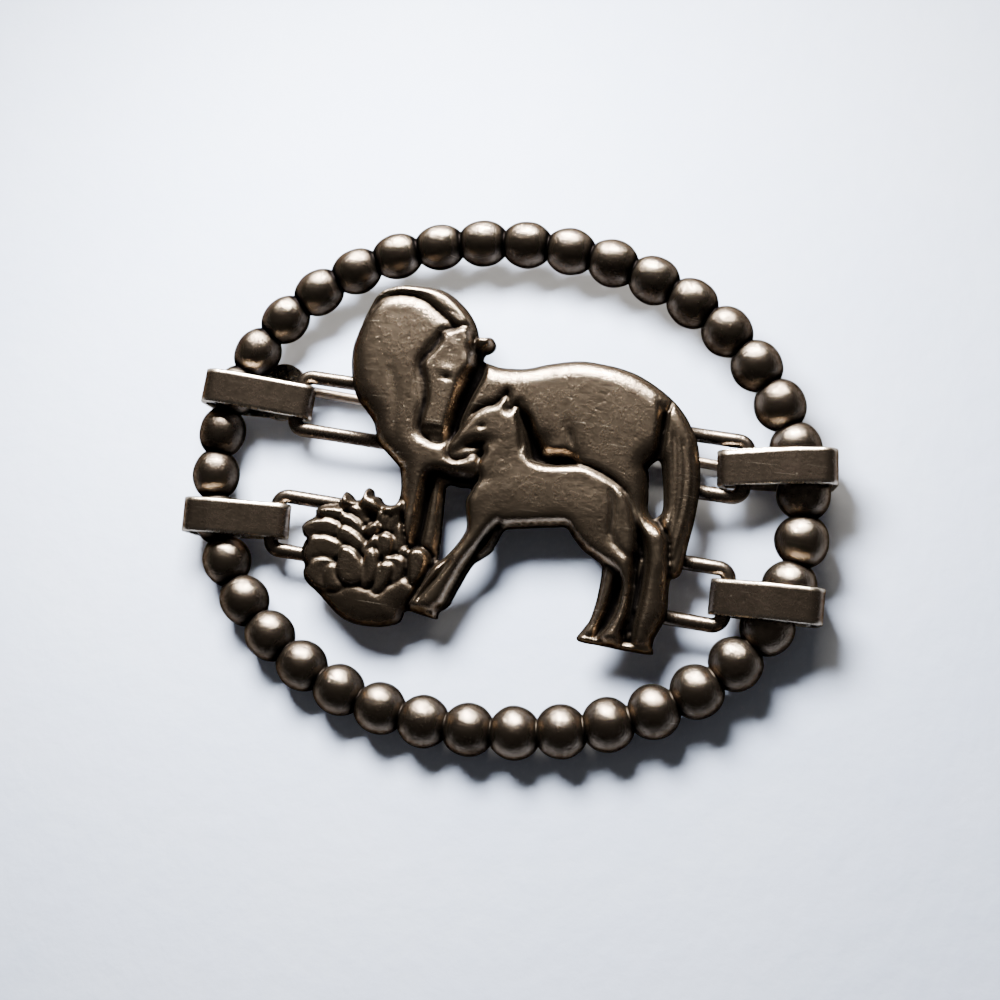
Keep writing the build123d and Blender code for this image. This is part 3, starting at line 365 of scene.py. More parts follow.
# Raised forms from back to front, in hundredths of the face's length and height. Level,
# crown and lean are shares of the relief's rise: a form starts at its level, swells by its
# crown, and its top stands higher than its foot by its lean. The two roundings are
# hundredths of the face's length: at the form's own edge, and at the plaque's edge.
Form = namedtuple("Form", "name level crown lean edge_round rim_round points")
FORMS = [
    Form("far foreleg", 0.0, 0.40, 0.0, 2.2, 3.0,
         [(31.6, 50), (36.5, 49), (38.2, 36), (38.5, 22), (34, 20), (31.2, 24), (31.3, 35)]),
    Form("far hind leg", 0.0, 0.30, 0.0, 1.5, 2.0,
         [(87.2, 36), (89.5, 33), (91, 28), (92, 20), (91, 12), (90, 8), (86.5, 8), (87, 16), (87.4, 24)]),
    Form("tail", 0.0, 0.56, 0.1, 1.6, 3.4,
         [(86, 86), (95, 80), (104, 66), (104, 40), (101, 26), (94.8, 26.5), (93.6, 33), (91.5, 43),
          (90.2, 52), (88.6, 60), (88.2, 68), (87.4, 76)]),
    Form("mare's trunk", 0.0, 0.82, 0.0, 3.0, 5.2,
         [(38.2, 84.5), (39.5, 90), (60, 95), (82, 91), (89.5, 82), (89.4, 76), (88.9, 68), (88.5, 61),
          (88.6, 52), (90, 44.5), (94, 40), (95.6, 33), (96.6, 26), (98, 20), (97, 3), (88.3, 3),
          (88.7, 8.8), (88.4, 14), (88.9, 22), (88.8, 30), (87.6, 36), (84.3, 41), (80, 45), (72, 50),
          (66, 56), (60, 56.5), (56.5, 58), (53.5, 64.5), (51, 66), (46, 66), (40, 62), (36, 59),
          (34.6, 61), (36.4, 69), (39.2, 78)]),
    Form("mare's neck and chest", 0.0, 0.86, 0.0, 2.6, 5.8,
         [(2, 71), (1, 80), (4, 95), (12, 103), (26, 104), (34, 99.5), (39.2, 91), (37.6, 80), (35, 66),
          (34.6, 60), (37, 57), (41, 56), (44.2, 53), (44.8, 49.5), (44, 46.6), (40, 45.9), (36, 45.8),
          (32, 46.4), (30.6, 44.5), (30.4, 38), (30.2, 26.5), (27, 20), (22, 24), (21, 33), (21.5, 44),
          (14, 49), (8, 60)]),
    Form("mare's mane", 0.58, 0.30, 0.0, 2.6, 4.2,
         [(6, 90.5), (8.6, 94.6), (12.5, 96.6), (17, 97), (21, 96), (25, 93.4), (28.8, 90.6),
          (31.6, 88.2), (33.8, 89.6), (35.6, 88), (40, 93), (34, 101), (26, 105), (12, 104), (3, 95)]),
    Form("mare's head", 0.62, 0.36, -0.04, 1.9, 2.2,
         [(33.6, 90.6), (34.9, 88), (36.2, 85), (37, 81), (36.6, 78.5), (34.9, 74.8), (34.4, 70),
          (33.9, 64), (33.6, 58.5), (33.4, 56.4), (32, 54.8), (29.4, 55.1), (27.2, 56.6), (26, 59),
          (26, 62), (26.3, 67), (25, 72.5), (23.5, 76.5), (23.8, 79), (25.4, 81.5), (26.8, 84.6),
          (27.2, 88), (30, 89.4)]),
    Form("mare's ear", 0.15, 0.6, 0.1, 1.4, 1.3,
         [(35.9, 85.2), (36.4, 88.5), (40, 90), (44, 88), (43.5, 84), (41, 83.2), (38.3, 83), (37, 83.8)]),
    Form("foal's far leg", 0.0, 0.34, 0.0, 1.2, 2.4,
         [(50, 37), (54, 35), (54, 30), (50, 22), (46, 14), (43.5, 8), (38.6, 8), (40.9, 13.7),
          (43.2, 20.5), (46.4, 27.2), (48.4, 31)]),
    Form("foal's far hind leg", 0.0, 0.45, 0.0, 1.4, 1.6,
         [(77, 31), (83, 29), (82.8, 24), (82, 18), (80.6, 12), (79.6, 7), (74, 6), (76.5, 16), (77, 26)]),
    Form("foal", 0.5, 0.42, 0.0, 2.4, 3.4,
         [(47.3, 73), (48.3, 70), (48.5, 68), (50.4, 70), (52.2, 66.4), (54, 62), (55.4, 58),
          (56.4, 55.4), (58.4, 54.4), (62, 54.4), (66, 55.2), (70, 55.7), (74, 54.6), (78, 52.8),
          (81.2, 50.6), (83, 48.4), (85.2, 43), (86.6, 36.5), (86.6, 30), (87.2, 22), (87.3, 16),
          (86.6, 11), (87, 7), (86, 2), (80, 2), (80.6, 8), (82.6, 12), (84.2, 17), (84.6, 22),
          (83.6, 26), (80.5, 29), (76, 30), (70, 33), (66, 33), (55, 31), (52.4, 34), (50.3, 35.2),
          (46.6, 28), (43.4, 21), (40.2, 11), (39, 8.4), (41, 4), (30.5, 4), (30.9, 8.3), (32.9, 13.4),
          (35.8, 19.8), (38, 24), (39, 28), (40.6, 33), (39.8, 38), (40.2, 42), (42.4, 44.6), (43.4, 47),
          (42.6, 51), (43.6, 54.6), (41.4, 53.4), (38.6, 51.2), (36, 50.8), (34.5, 52.2), (33.9, 55),
          (35, 58.5), (37, 62), (39, 65.4), (41.5, 67.8), (44.4, 69.2), (46.2, 71.6)]),
    Form("front plinth", 0.25, 0.25, 0.0, 0.9, 0.9,
         [(30.4, 3.5), (30.4, 7.4), (35.5, 7.7), (40.8, 7.6), (40.8, 3.5)]),
    Form("rear plinth", 0.25, 0.25, 0.0, 0.9, 0.9,
         [(74.5, 4.5), (75, 7.9), (85, 7.9), (95.5, 7.9), (95.5, 4.5)]),
    Form("bud's bowl", 0.0, 0.62, -0.1, 2.0, 9.0,
         [(25.3, 36), (27, 29), (29, 25), (32.8, 25.2), (35.2, 23.2), (34.6, 17), (33, 12), (31.5, 8),
          (32, 3), (24, -3), (12, -2), (2, 6), (-1, 16), (-2, 26), (3, 38), (14, 42), (22, 40)]),
    Form("left knob", 0.3, 0.5, 0.0, 1.6, 1.8, [(8.8, 32), (8.6, 38), (13, 38), (13.2, 32)]),
    Form("middle knob", 0.3, 0.5, 0.0, 2.0, 1.8, [(13.6, 32), (14, 41), (19, 41), (21, 36), (20.4, 32)]),
    Form("right knob", 0.3, 0.5, 0.0, 1.6, 1.8, [(20, 32), (20.4, 37.5), (25.6, 37), (25.4, 32)]),
    Form("back petal 1", 0.42, 0.15, 0.12, 0.8, 1.4,
         [(10.5, 33), (13, 33.6), (17, 32.8), (18.6, 30), (16.4, 28), (12, 30)]),
    Form("back petal 2", 0.44, 0.15, 0.12, 0.8, 1.4,
         [(18.6, 29), (18.8, 32.4), (20.4, 33.4), (21, 30), (20.4, 27.6)]),
    Form("back petal 3", 0.46, 0.15, 0.12, 0.8, 1.4,
         [(20.4, 28), (21, 32.2), (22.4, 33), (23, 30), (22.4, 27)]),
    Form("back petal 4", 0.44, 0.15, 0.12, 0.8, 1.4,
         [(22.4, 28), (23, 32.6), (25, 33.6), (25.8, 30), (24.4, 26.6)]),
    Form("side petal", 0.40, 0.15, 0.1, 0.8, 1.4,
         [(24, 21), (24.2, 27), (25.4, 31.4), (26.8, 27), (27, 22)]),
    Form("stalk petal", 0.42, 0.15, 0.1, 0.8, 1.6,
         [(26.2, 18), (26.8, 23), (28.6, 24.2), (30, 21), (29.4, 16)]),
    Form("right lobe", 0.40, 0.34, 0.1, 1.3, 1.6,
         [(29.4, 18), (29, 22.6), (30.6, 24.4), (33, 24.4), (34.4, 22), (34, 17.6), (32.4, 14),
          (30.4, 14.6)]),
    Form("petal 1", 0.46, 0.15, 0.14, 0.8, 2.0,
         [(3, 29.4), (3.8, 31.5), (8, 32.2), (11.4, 31), (13.4, 29.6), (12, 27.4), (8, 28), (5, 28.4)]),
    Form("petal 2", 0.52, 0.15, 0.14, 0.8, 2.0,
         [(10, 30.6), (12.8, 30.4), (15.2, 28.8), (17, 26.6), (16.6, 24.6), (13, 25.4), (10, 27)]),
    Form("petal 3", 0.48, 0.15, 0.14, 0.8, 2.0,
         [(-0.5, 24.4), (1, 26.8), (3.8, 28.2), (7, 28.5), (10, 27.4), (11, 24.4), (9, 21.6), (4, 21),
          (1, 21.6)]),
    Form("petal 4", 0.55, 0.15, 0.14, 0.8, 2.0,
         [(16.1, 26.8), (17.2, 28.6), (19.2, 29.8), (20.4, 28.4), (19.8, 26), (17.6, 25.4)]),
    Form("petal 5", 0.58, 0.15, 0.14, 0.8, 2.0,
         [(9.8, 25.6), (10.6, 27.1), (13.4, 26.5), (16.2, 24.7), (18, 22.6), (17, 20), (13, 21.2),
          (10, 22.4)]),
    Form("petal 6", 0.56, 0.15, 0.12, 0.8, 2.0,
         [(19.8, 22), (20, 25.4), (21.2, 27), (24, 26.7), (24.6, 24), (24, 20), (21.6, 19)]),
    Form("petal 7", 0.62, 0.15, 0.1, 0.8, 2.0,
         [(16.6, 20), (17.6, 22.6), (18.8, 25.2), (20, 25.8), (20.4, 23), (19.4, 19.6)]),
    Form("petal 8", 0.50, 0.15, 0.12, 0.8, 2.0,
         [(22.6, 18.6), (23, 20.2), (26.4, 21.3), (28.8, 20), (28.6, 15.6), (25.6, 13), (23, 15)]),
    Form("petal 9", 0.50, 0.15, 0.12, 0.8, 2.0,
         [(1.6, 18.4), (2.6, 22.4), (4.6, 23.2), (7.2, 23.4), (10.2, 22.7), (12.6, 21.5), (12.4, 17),
          (9, 15.4), (4, 14.4), (2.2, 15.6)]),
    Form("petal 10", 0.46, 0.15, 0.12, 0.8, 2.2,
         [(2.6, 12), (3.6, 15.2), (6, 17.1), (8.2, 17.3), (11.2, 16.4), (12.6, 12.6), (11, 8.8), (7, 8.4),
          (4.4, 10)]),
    Form("petal 11", 0.50, 0.15, 0.1, 0.8, 2.2,
         [(8, 13.4), (8.8, 15.4), (11.4, 16), (13.4, 13.4), (13.6, 9.6), (11, 8.6), (8.6, 10)]),
    Form("petal 12", 0.60, 0.15, 0.1, 0.8, 2.0,
         [(21.4, 13.4), (21.6, 17.8), (23.4, 18.8), (25.8, 18.4), (25.6, 14.4), (23.6, 10.4), (21.6, 10.4)]),
    Form("petal 13", 0.66, 0.15, 0.1, 0.8, 2.0,
         [(17.9, 14), (17.8, 19.6), (19.4, 22), (21.4, 20.6), (22, 16), (21, 12), (18.6, 11)]),
    Form("petal 14", 0.68, 0.15, 0.1, 0.8, 2.0,
         [(11.2, 15), (11.4, 20.4), (13, 21.4), (16.2, 19.9), (18, 17), (18.4, 13), (16.8, 11.4),
          (13.4, 11.4)]),
]

# Grooves, which fade at both ends: depth as a share of the rise, half width in hundredths
# of the face's length.
Groove = namedtuple("Groove", "name depth half_width points")
GROOVES = [
    Groove("left of the head", 0.14, 0.9,
         [(27.4, 88), (26.2, 85.4), (23.6, 80.6), (22.6, 77), (23.6, 72), (25.2, 66.4), (25.2, 61.4),
          (26.4, 56.6)]),
    Groove("between head and shoulder", 0.42, 1.5,
         [(36.4, 84), (38, 80), (37.6, 76), (36.4, 71), (35.2, 64), (34.6, 58.5)]),
    Groove("under the mane", 0.07, 1.2,
         [(6, 90), (8.8, 93.6), (12.6, 95.4), (17, 95.8), (21, 94.8), (25, 92), (28.8, 89.2), (31.4, 87.2)]),
    Groove("mane lock 1", 0.07, 0.35, [(8.4, 94.8), (10.4, 97.2), (12.2, 98.6)]),
    Groove("mane lock 2", 0.06, 0.35, [(15.6, 97.4), (19.8, 98), (24, 97)]),
    Groove("mane lock 3", 0.06, 0.35, [(26.4, 94.6), (30, 93.6), (32.6, 91.4)]),
    Groove("croup", 0.30, 0.9, [(86.4, 77.6), (87.6, 73), (88.2, 68), (88.3, 63), (88, 59)]),
    Groove("inner tail lock", 0.13, 0.5, [(91, 69), (92.6, 61), (93.8, 52), (94.4, 45), (94, 39.5)]),
    Groove("middle tail lock", 0.12, 0.5, [(93.4, 68), (95.4, 60), (96.2, 50), (95.4, 40), (94.6, 31)]),
    Groove("outer tail lock", 0.12, 0.5, [(96, 65), (97.9, 56), (98, 46), (96.8, 36), (95.9, 29.5)]),
    Groove("between foal's forelegs", 0.32, 0.6, [(40.6, 23), (38.4, 18.6), (35.6, 13.4), (33.2, 8.4)]),
    Groove("foal's haunch", 0.16, 0.8, [(77.4, 50.6), (78.8, 46.5), (79.4, 42), (79.6, 38), (81, 35.4)]),
    Groove("foal's thigh", 0.12, 0.7, [(79.6, 36.6), (82, 34), (84.4, 32.2), (87, 31.4)]),
    Groove("crease before the flank", 0.14, 1.0, [(64.4, 66), (65.6, 62.5), (66.8, 58.4)]),
    Groove("foal's mane", 0.16, 0.7, [(50.6, 68.4), (51.9, 64.4), (53, 60.4), (53.8, 56)]),
    Groove("behind foal's mane", 0.20, 1.0, [(51.4, 69.8), (54, 64.4), (56.6, 59.8), (59, 57.4)]),
    Groove("mare's jaw", 0.10, 0.5, [(25.6, 58.8), (28, 59), (30.6, 59.2), (33.6, 59.2)]),
    Groove("mare's shoulder", 0.05, 1.4, [(15, 76), (17.4, 68), (18.4, 60), (21.4, 52)]),
]

# Dents and swellings: radii in hundredths, height as a share of the rise, negative goes in.
Dent = namedtuple("Dent", "name x y radius_x radius_y turn height")
DENTS = [
    Dent("mare's barrel", 62, 74, 20, 13, 0, 0.08),
    Dent("mare's croup", 79, 66, 9, 14, 0, 0.03),
    Dent("mare's neck", 14, 79, 10, 19, 0, 0.12),
    Dent("mare's shoulder", 26, 52, 6, 9, 0, 0.05),
    Dent("foal's barrel", 62, 46, 15, 8, 0, 0.07),
    Dent("foal's neck", 49, 60, 5, 9, 0, 0.05),
    Dent("mare's eye", 30.8, 74.2, 1.0, 0.5, -5, -0.16),
    Dent("mare's brow", 30.4, 76.6, 2.4, 1.0, -5, 0.05),
    Dent("foal's eye", 42.3, 61.8, 0.9, 0.5, 18, -0.16),
    Dent("foal's jaw", 41.4, 56.3, 3.6, 1.6, 20, -0.40),
    Dent("foal's muzzle", 36.6, 53.2, 2.6, 1.6, 15, -0.16),
    Dent("mare's muzzle", 30, 56.9, 3.6, 1.5, -6, -0.26),
    Dent("flank", 57.6, 59, 3.0, 2.6, 0, -0.30),
    Dent("udder", 61.6, 58.6, 2.4, 1.6, 0, 0.06),
    Dent("under the belly", 66, 57.6, 3.0, 1.6, 0, -0.14),
    Dent("foal's breast", 44.6, 41, 3.0, 5.0, 0, 0.05),
    Dent("foal's shoulder", 52, 44, 4.4, 6.0, 0, 0.05),
    Dent("foal's thigh", 74, 42, 5.0, 6.0, 0, 0.06),
    Dent("mare's chest bar", 38, 47, 6.0, 1.6, 0, -0.26),
    Dent("hollow among the petals", 17, 31.4, 1.6, 1.4, 0, -0.16),
]


def on_plaque(points):
    """Points in hundredths of the plaque, as millimetres from the ring's middle."""
    corner = (plaque_middle_x - plaque_length / 2, plaque_middle_y - plaque_height / 2)
    return np.array(points, float) * (plaque_length / 100, plaque_height / 100) + corner


def on_face(points):
    """Points in hundredths of the face, which is a little smaller than the outline behind it."""
    middle = np.array([plaque_middle_x, plaque_middle_y])
    return middle + (face_shift_x, face_shift_y) + (on_plaque(points) - middle) * (1 - face_shrink)


def of_length(hundredths):
    """A distance given in hundredths of the face's length, in millimetres."""
    return hundredths * plaque_length * (1 - face_shrink) / 100


def smooth_curve(points, closed=True):
    """A smooth curve through a few points, as short straight steps."""
    knots = np.asarray(points, float)
    ends = (knots[-1:], knots[:2]) if closed else (knots[:1], knots[-1:])
    knots = np.vstack([ends[0], knots, ends[1]])
    steps = np.linspace(0, 1, curve_steps, endpoint=False)[:, None]
    curve = []
    for before, start, end, after in zip(knots[:-3], knots[1:-2], knots[2:-1], knots[3:]):
        curve.append(0.5 * (2 * start + (end - before) * steps
                            + (2 * before - 5 * start + 4 * end - after) * steps ** 2
                            + (3 * start - before - 3 * end + after) * steps ** 3))
    if not closed:
        curve.append(knots[-1:])
    return np.vstack(curve)


def distance_to(places, curve, closed=True, reach=None):
    """Distance from each place to a curve, positive inside a closed one, and the nearest point.

    Places further than the reach from the curve's own box are only told apart as outside.
    """
    if reach is not None:
        low, high = curve.min(axis=0) - reach, curve.max(axis=0) + reach
        near = ((places > low) & (places < high)).all(axis=1)
        distance = np.full(len(places), -reach if closed else reach, float)
        nearest = np.zeros_like(places)
        distance[near], nearest[near] = distance_to(places[near], curve, closed)
        return distance, nearest
    starts = curve if closed else curve[:-1]
    ends = np.roll(curve, -1, axis=0) if closed else curve[1:]
    nearest_square = np.full(len(places), np.inf)
    nearest = np.zeros_like(places)
    inside = np.zeros(len(places), bool)
    for start, end in zip(starts, ends):
        run = end - start
        share = np.clip(((places - start) @ run) / (run @ run), 0, 1)
        foot = start + share[:, None] * run
        square = ((places - foot) ** 2).sum(axis=1)
        closer = square < nearest_square
        nearest_square[closer] = square[closer]
        nearest[closer] = foot[closer]
        if closed and start[1] != end[1]:
            level = (start[1] > places[:, 1]) != (end[1] > places[:, 1])
            crossing = start[0] + (places[:, 1] - start[1]) / run[1] * run[0]
            inside ^= level & (places[:, 0] < crossing)
    distance = np.sqrt(nearest_square)
    return (np.where(inside, distance, -distance) if closed else distance), nearest


def distance_in_figure(places, curves):
    """How far each place lies inside the metal, and the nearest point of its edge."""
    distance, nearest = distance_to(places, curves[0])
    for hole in curves[1:]:
        hole_distance, hole_nearest = distance_to(places, hole)
        closer = -hole_distance < distance
        distance = np.where(closer, -hole_distance, distance)
        nearest = np.where(closer[:, None], hole_nearest, nearest)
    return distance, nearest


def quarter_round(share):
    """Height of a quarter circle's edge, from 0 at its foot to 1 at its top."""
    share = np.clip(share, 0, 1)
    return np.sqrt(1 - (1 - share) ** 2)


def soft_round(share):
    """Height of a parabola's edge, which starts less steeply."""
    return 1 - (1 - np.clip(share, 0, 1)) ** 2


def bell(share):
    """Height of a rounded hill, 1 at its middle."""
    return np.exp(-share ** 2)


def laid_over(height, places, rim, form):
    """The relief with one more form laid over it, and a crease round what it hides."""
    points = on_face(form.points)
    distance, _ = distance_to(places, smooth_curve(points), reach=of_length(4))
    inside = distance > 0
    if form.level > 0:
        crease = crease_depth * bell(distance / of_length(crease_width))
        height = np.where(~inside & (height > 0), height - crease, height)
    own_edge = soft_round(distance / of_length(form.edge_round))
    at_rim = quarter_round(rim / of_length(form.rim_round))
    edge = 1 - np.minimum(1, np.hypot(1 - own_edge, 1 - at_rim))
    low, high = points[:, 1].min(), points[:, 1].max()
    lean = form.lean * ((places[:, 1] - low) / (high - low) - 0.5)
    level = (form.level + lean) * quarter_round(rim / of_length(form.rim_round / 2))
    return np.where(inside, level + form.crown * edge, height)


def relief_height(places, rim):
    """Height of the plaque's face above its back at each place."""
    rim = np.clip(rim - lip_width, 0, None)
    height = np.zeros(len(places))
    for form in FORMS:
        height = laid_over(height, places, rim, form)
    shallow = np.clip(height / full_depth_height, 0, 1)
    for groove in GROOVES:
        line = smooth_curve(on_face(groove.points), closed=False)
        distance, _ = distance_to(places, line, False, of_length(4))
        ends = np.minimum(*[np.linalg.norm(places - end, axis=1) for end in (line[0], line[-1])])
        depth = groove.depth * soft_round(ends / of_length(groove_fade))
        height = height - depth * shallow * bell(distance / of_length(groove.half_width))
    for dent in DENTS:
        offset = places - on_face([(dent.x, dent.y)])
        turn = math.radians(dent.turn)
        along = offset @ (math.cos(turn), math.sin(turn)) / of_length(dent.radius_x)
        across = offset @ (-math.sin(turn), math.cos(turn)) / of_length(dent.radius_y)
        height = height + dent.height * shallow * bell(np.hypot(along, across))
    return plate_thickness + relief_rise * np.clip(height, 0, None)


def evened(points, curve):
    """A ring of points on a curve, with more even steps along it."""
    runs = np.linalg.norm(np.roll(curve, -1, axis=0) - curve, axis=1)
    marks = np.concatenate([[0], np.cumsum(runs)])
    total = marks[-1]
    rounds = np.vstack([curve, curve[:1]])
    share = []
    for point in points:
        index = int(np.argmin(((curve - point) ** 2).sum(axis=1)))
        best = (np.inf, 0.0)
        for start in (index - 1, index):
            run = rounds[start % len(curve) + 1] - rounds[start % len(curve)]
            part = np.clip((point - rounds[start % len(curve)]) @ run / (run @ run), 0, 1)
            gap = np.linalg.norm(rounds[start % len(curve)] + part * run - point)
            best = min(best, (gap, marks[start % len(curve)] + part * np.linalg.norm(run)))
        share.append(best[1])
    share = np.unwrap(np.array(share) * 2 * math.pi / total) * total / (2 * math.pi)
    lap = total if share[-1] > share[0] else -total
    for _ in range(outline_rounds):
        before = np.concatenate([[share[-1] - lap], share[:-1]])
        after = np.concatenate([share[1:], [share[0] + lap]])
        share = 0.5 * share + 0.25 * (before + after)
    place = np.mod(share, total)
    return np.stack([np.interp(place, marks, rounds[:, axis]) for axis in (0, 1)], axis=1)


def edge_rings(form):
    """The form's open edges as rings of vertices."""
    following = {}
    for edge in form.edges:
        if len(edge.link_faces) == 1:
            loop = edge.link_loops[0]
            following[loop.vert] = loop.link_loop_next.vert
    rings = []
    while following:
        start, vert = following.popitem()
        ring = [start]
        while vert is not start:
            ring.append(vert)
            vert = following.pop(vert)
        rings.append(ring)
    return rings


figure = [smooth_curve(on_plaque([point for stretch in OUTLINE.values() for point in stretch]))]
figure += [smooth_curve(on_plaque(hole)) for hole in PIERCINGS.values()]
columns = math.ceil(plaque_length / grain_size) + spare_grains
rows = math.ceil(plaque_height / grain_size) + spare_grains
plaque_form = bmesh.new()
plaque_tarnish_and_shade = plaque_form.verts.layers.float.new("hollow")
bmesh.ops.create_grid(plaque_form, x_segments=columns, y_segments=rows, size=0.5)
for vert in plaque_form.verts:
    vert.co.x = plaque_middle_x + vert.co.x * columns * grain_size
    vert.co.y = plaque_middle_y + vert.co.y * rows * grain_size
faces = list(plaque_form.faces)
middles = np.array([face.calc_center_median()[:2] for face in faces])
inside, _ = distance_in_figure(middles, figure)
outside = [face for face, depth in zip(faces, inside) if depth <= 0]
while outside:
    bmesh.ops.delete(plaque_form, geom=outside, context="FACES")
    pinched = [vert for vert in plaque_form.verts
               if sum(len(edge.link_faces) == 1 for edge in vert.link_edges) > 2]
    outside = list({face for vert in pinched for face in vert.link_faces})
edge_verts = set()
for ring in edge_rings(plaque_form):
    ring_places = np.array([vert.co[:2] for vert in ring])
    curve = min(figure, key=lambda one: np.abs(distance_to(ring_places, one)[0]).mean())
    _, nearest = distance_to(ring_places, curve)
    for vert, point in zip(ring, evened(nearest, curve)):
        vert.co.x, vert.co.y = point
        edge_verts.add(vert)
near_edge = set(edge_verts)
for _ in range(edge_rows):
    near_edge |= {edge.other_vert(vert) for vert in near_edge for edge in vert.link_edges}
for _ in range(edge_rounds):
    bmesh.ops.smooth_vert(plaque_form, verts=list(near_edge - edge_verts), factor=0.5,
                          use_axis_x=True, use_axis_y=True)

face_verts = list(plaque_form.verts)
places = np.array([vert.co[:2] for vert in face_verts])
rim, _ = distance_in_figure(places, figure)
rise = relief_height(places, rim)
plaque_back = wire_radius - solder_bite
for vert, height in zip(face_verts, rise):
    vert.co.z = plaque_back + (plate_thickness if vert in edge_verts else float(height))


def smoothed(form, verts, values, rounds):
    """A value at each vertex, evened out among its neighbours."""
    index = {vert: number for number, vert in enumerate(verts)}
    ends = np.array([(index[edge.verts[0]], index[edge.verts[1]]) for edge in form.edges])
    count = np.bincount(ends.ravel(), minlength=len(verts))
    for _ in range(rounds):
        total = np.bincount(ends[:, 0], values[ends[:, 1]], len(verts))
        total += np.bincount(ends[:, 1], values[ends[:, 0]], len(verts))
        values = 0.5 * values + 0.5 * total / count
    return values


top = smoothed(plaque_form, face_verts, np.array([vert.co.z for vert in face_verts]), face_rounds)
for vert, height in zip(face_verts, top):
    if vert not in edge_verts:
        vert.co.z = float(height)
# Painted dark: the hollows as black patina and painted shade; the band along the outline and the top edge of
# the walls as painted shade
sunk = smoothed(plaque_form, face_verts, top, hollow_rounds) - top
sunk_share = np.where(rim < rim_width, rim_painted_shade, np.clip(open_tarnish + sunk / black_depth, 0, 1))
tarnish_and_shade_share = smoothed(plaque_form, face_verts, sunk_share, 2)
for vert, share in zip(face_verts, tarnish_and_shade_share):
    vert[plaque_tarnish_and_shade] = 1.0 if vert in edge_verts else float(share)
open_edges = [edge for edge in plaque_form.edges if len(edge.link_faces) == 1]
walls = bmesh.ops.extrude_edge_only(plaque_form, edges=open_edges)["geom"]
foot_verts = [item for item in walls if isinstance(item, bmesh.types.BMVert)]
foot_edges = [item for item in walls if isinstance(item, bmesh.types.BMEdge)]
# The side walls are painted fully dark, as painted shade
for vert in foot_verts:
    vert.co.z = plaque_back
    vert[plaque_tarnish_and_shade] = 1.0
foot_edges = [edge for edge in foot_edges if len(edge.link_faces) == 1]
bmesh.ops.triangle_fill(plaque_form, edges=foot_edges, use_beauty=True)
bmesh.ops.recalc_face_normals(plaque_form, faces=plaque_form.faces)
for vert in plaque_form.verts:
    vert.co = in_frame(*vert.co)
plaque_silver = old_silver("plaque silver", worn=colour("7c6f60"), patina=colour("3c342d"),
                           tarnish_and_shade_colour=colour("070606"), rough=0.19, marks=0.7)
add_piece("horse_relief", plaque_form, plaque_silver, ["horse_plaque"])

# Wire loops
# Four loops of round silver wire, two to a side, are soldered by their ends to the back of
# the plaque. They stand out from it, where the bands hold them.
loop_height = 5.3
loop_corner_radius = 0.8
loop_bend_steps = 8
wire_sides = 24
upper_loop_middle = 3.8
lower_loop_middle = -5.7
left_wire_end = -6.5
right_wire_end = 12.4
plaque_low, plaque_high = (Vector(corner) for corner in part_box("horse_plaque"))
loop_left = plaque_low.x / MM - ring_middle.x + wire_radius
loop_right = plaque_high.x / MM - ring_middle.x - wire_radius
wire_silver = old_silver("wire silver", worn=colour("645a50"), patina=colour("3a342f"),
                         tarnish_and_shade_colour=colour("14110f"), rough=0.2, marks=0.2, grain=0.5)


def loop_points(outer, inner, middle):
    """The centre line of a loop: out along one wire, round its two bends and back."""
    side = math.copysign(1, outer)
    bend_x = outer - side * loop_corner_radius
    bend_y = loop_height / 2 - wire_radius - loop_corner_radius
    points = [in_frame(inner, middle + bend_y + loop_corner_radius)]
    for half in (1, -1):
        for step in range(loop_bend_steps + 1):
            turn = math.radians(45 + 45 * half - 90 * step / loop_bend_steps)
            points.append(in_frame(bend_x + side * loop_corner_radius * math.cos(turn),
                                   middle + half * bend_y + loop_corner_radius * math.sin(turn)))
    points.append(in_frame(inner, middle - bend_y - loop_corner_radius))
    return points


for side_name, outer, inner in [("left", loop_left, left_wire_end), ("right", loop_right, right_wire_end)]:
    for height_name, middle in [("upper", upper_loop_middle), ("lower", lower_loop_middle)]:
        loop_name = f"wire_loop_{height_name}_{side_name}"
        points = loop_points(outer, inner, middle)
        loop_form = wire_form(loop_name, points, [wire_radius * MM] * len(points), wire_sides, closed=False)
        add_piece(loop_name, loop_form, wire_silver, ["horse_plaque"])

# Bands
# Each band is a strap of silver sheet folded round the ring and round the end of a loop,
# with the pad and the catch soldered behind the upper two. Its long edges are rounded by a
# bump and lightened as a painted highlight.
band_half_width = 1.32
edge_round = 0.34
Band = namedtuple("Band", "node side ring_end loop_end")
BANDS = [
    Band("band_upper_left", -1, 0.200 * ring_half_height, upper_loop_middle),
    Band("band_lower_left", -1, -0.330 * ring_half_height, lower_loop_middle),
    Band("band_upper_right", 1, 0.238 * ring_half_height, upper_loop_middle),
    Band("band_lower_right", 1, -0.292 * ring_half_height, lower_loop_middle),
]


# The bands' long edges: their share lightens the colour as a painted highlight and rounds the surface by a
# bump
def edge_highlight_and_rounding(start, run):
    """For a strap that runs from a start: its share of edge at a place, 1 at its long edges."""
    aside = Vector((-run.y, run.x, 0)).normalized()

    def share(place):
        across = place.node("ShaderNodeVectorMath", {"operation": "DOT_PRODUCT"}, {0: place, 1: aside},
                            output=1)
        from_middle = place.maths("ABSOLUTE", across - aside.dot(start))
        return from_middle.within((band_half_width - edge_round) * MM, band_half_width * MM)
    return share


for row in BANDS:
    half_line = ring_line[ring_line[:, 0] * row.side > 0]
    half_line = half_line[np.argsort(half_line[:, 1])]
    on_ring = in_frame(float(np.interp(row.ring_end, half_line[:, 1], half_line[:, 0])), row.ring_end)
    on_loop = in_frame(loop_left if row.side < 0 else loop_right, row.loop_end)
    edges = edge_highlight_and_rounding(on_ring, on_loop - on_ring)
    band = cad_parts[row.node]
    band.data.materials.clear()
    band.data.materials.append(old_silver(f"silver of {row.node}", worn=colour("6e6357"),
                                          patina=colour("423933"), tarnish_and_shade_colour=colour("1c1917"),
                                          rough=0.2, marks=0.4, grain=0.5, edges=edges))

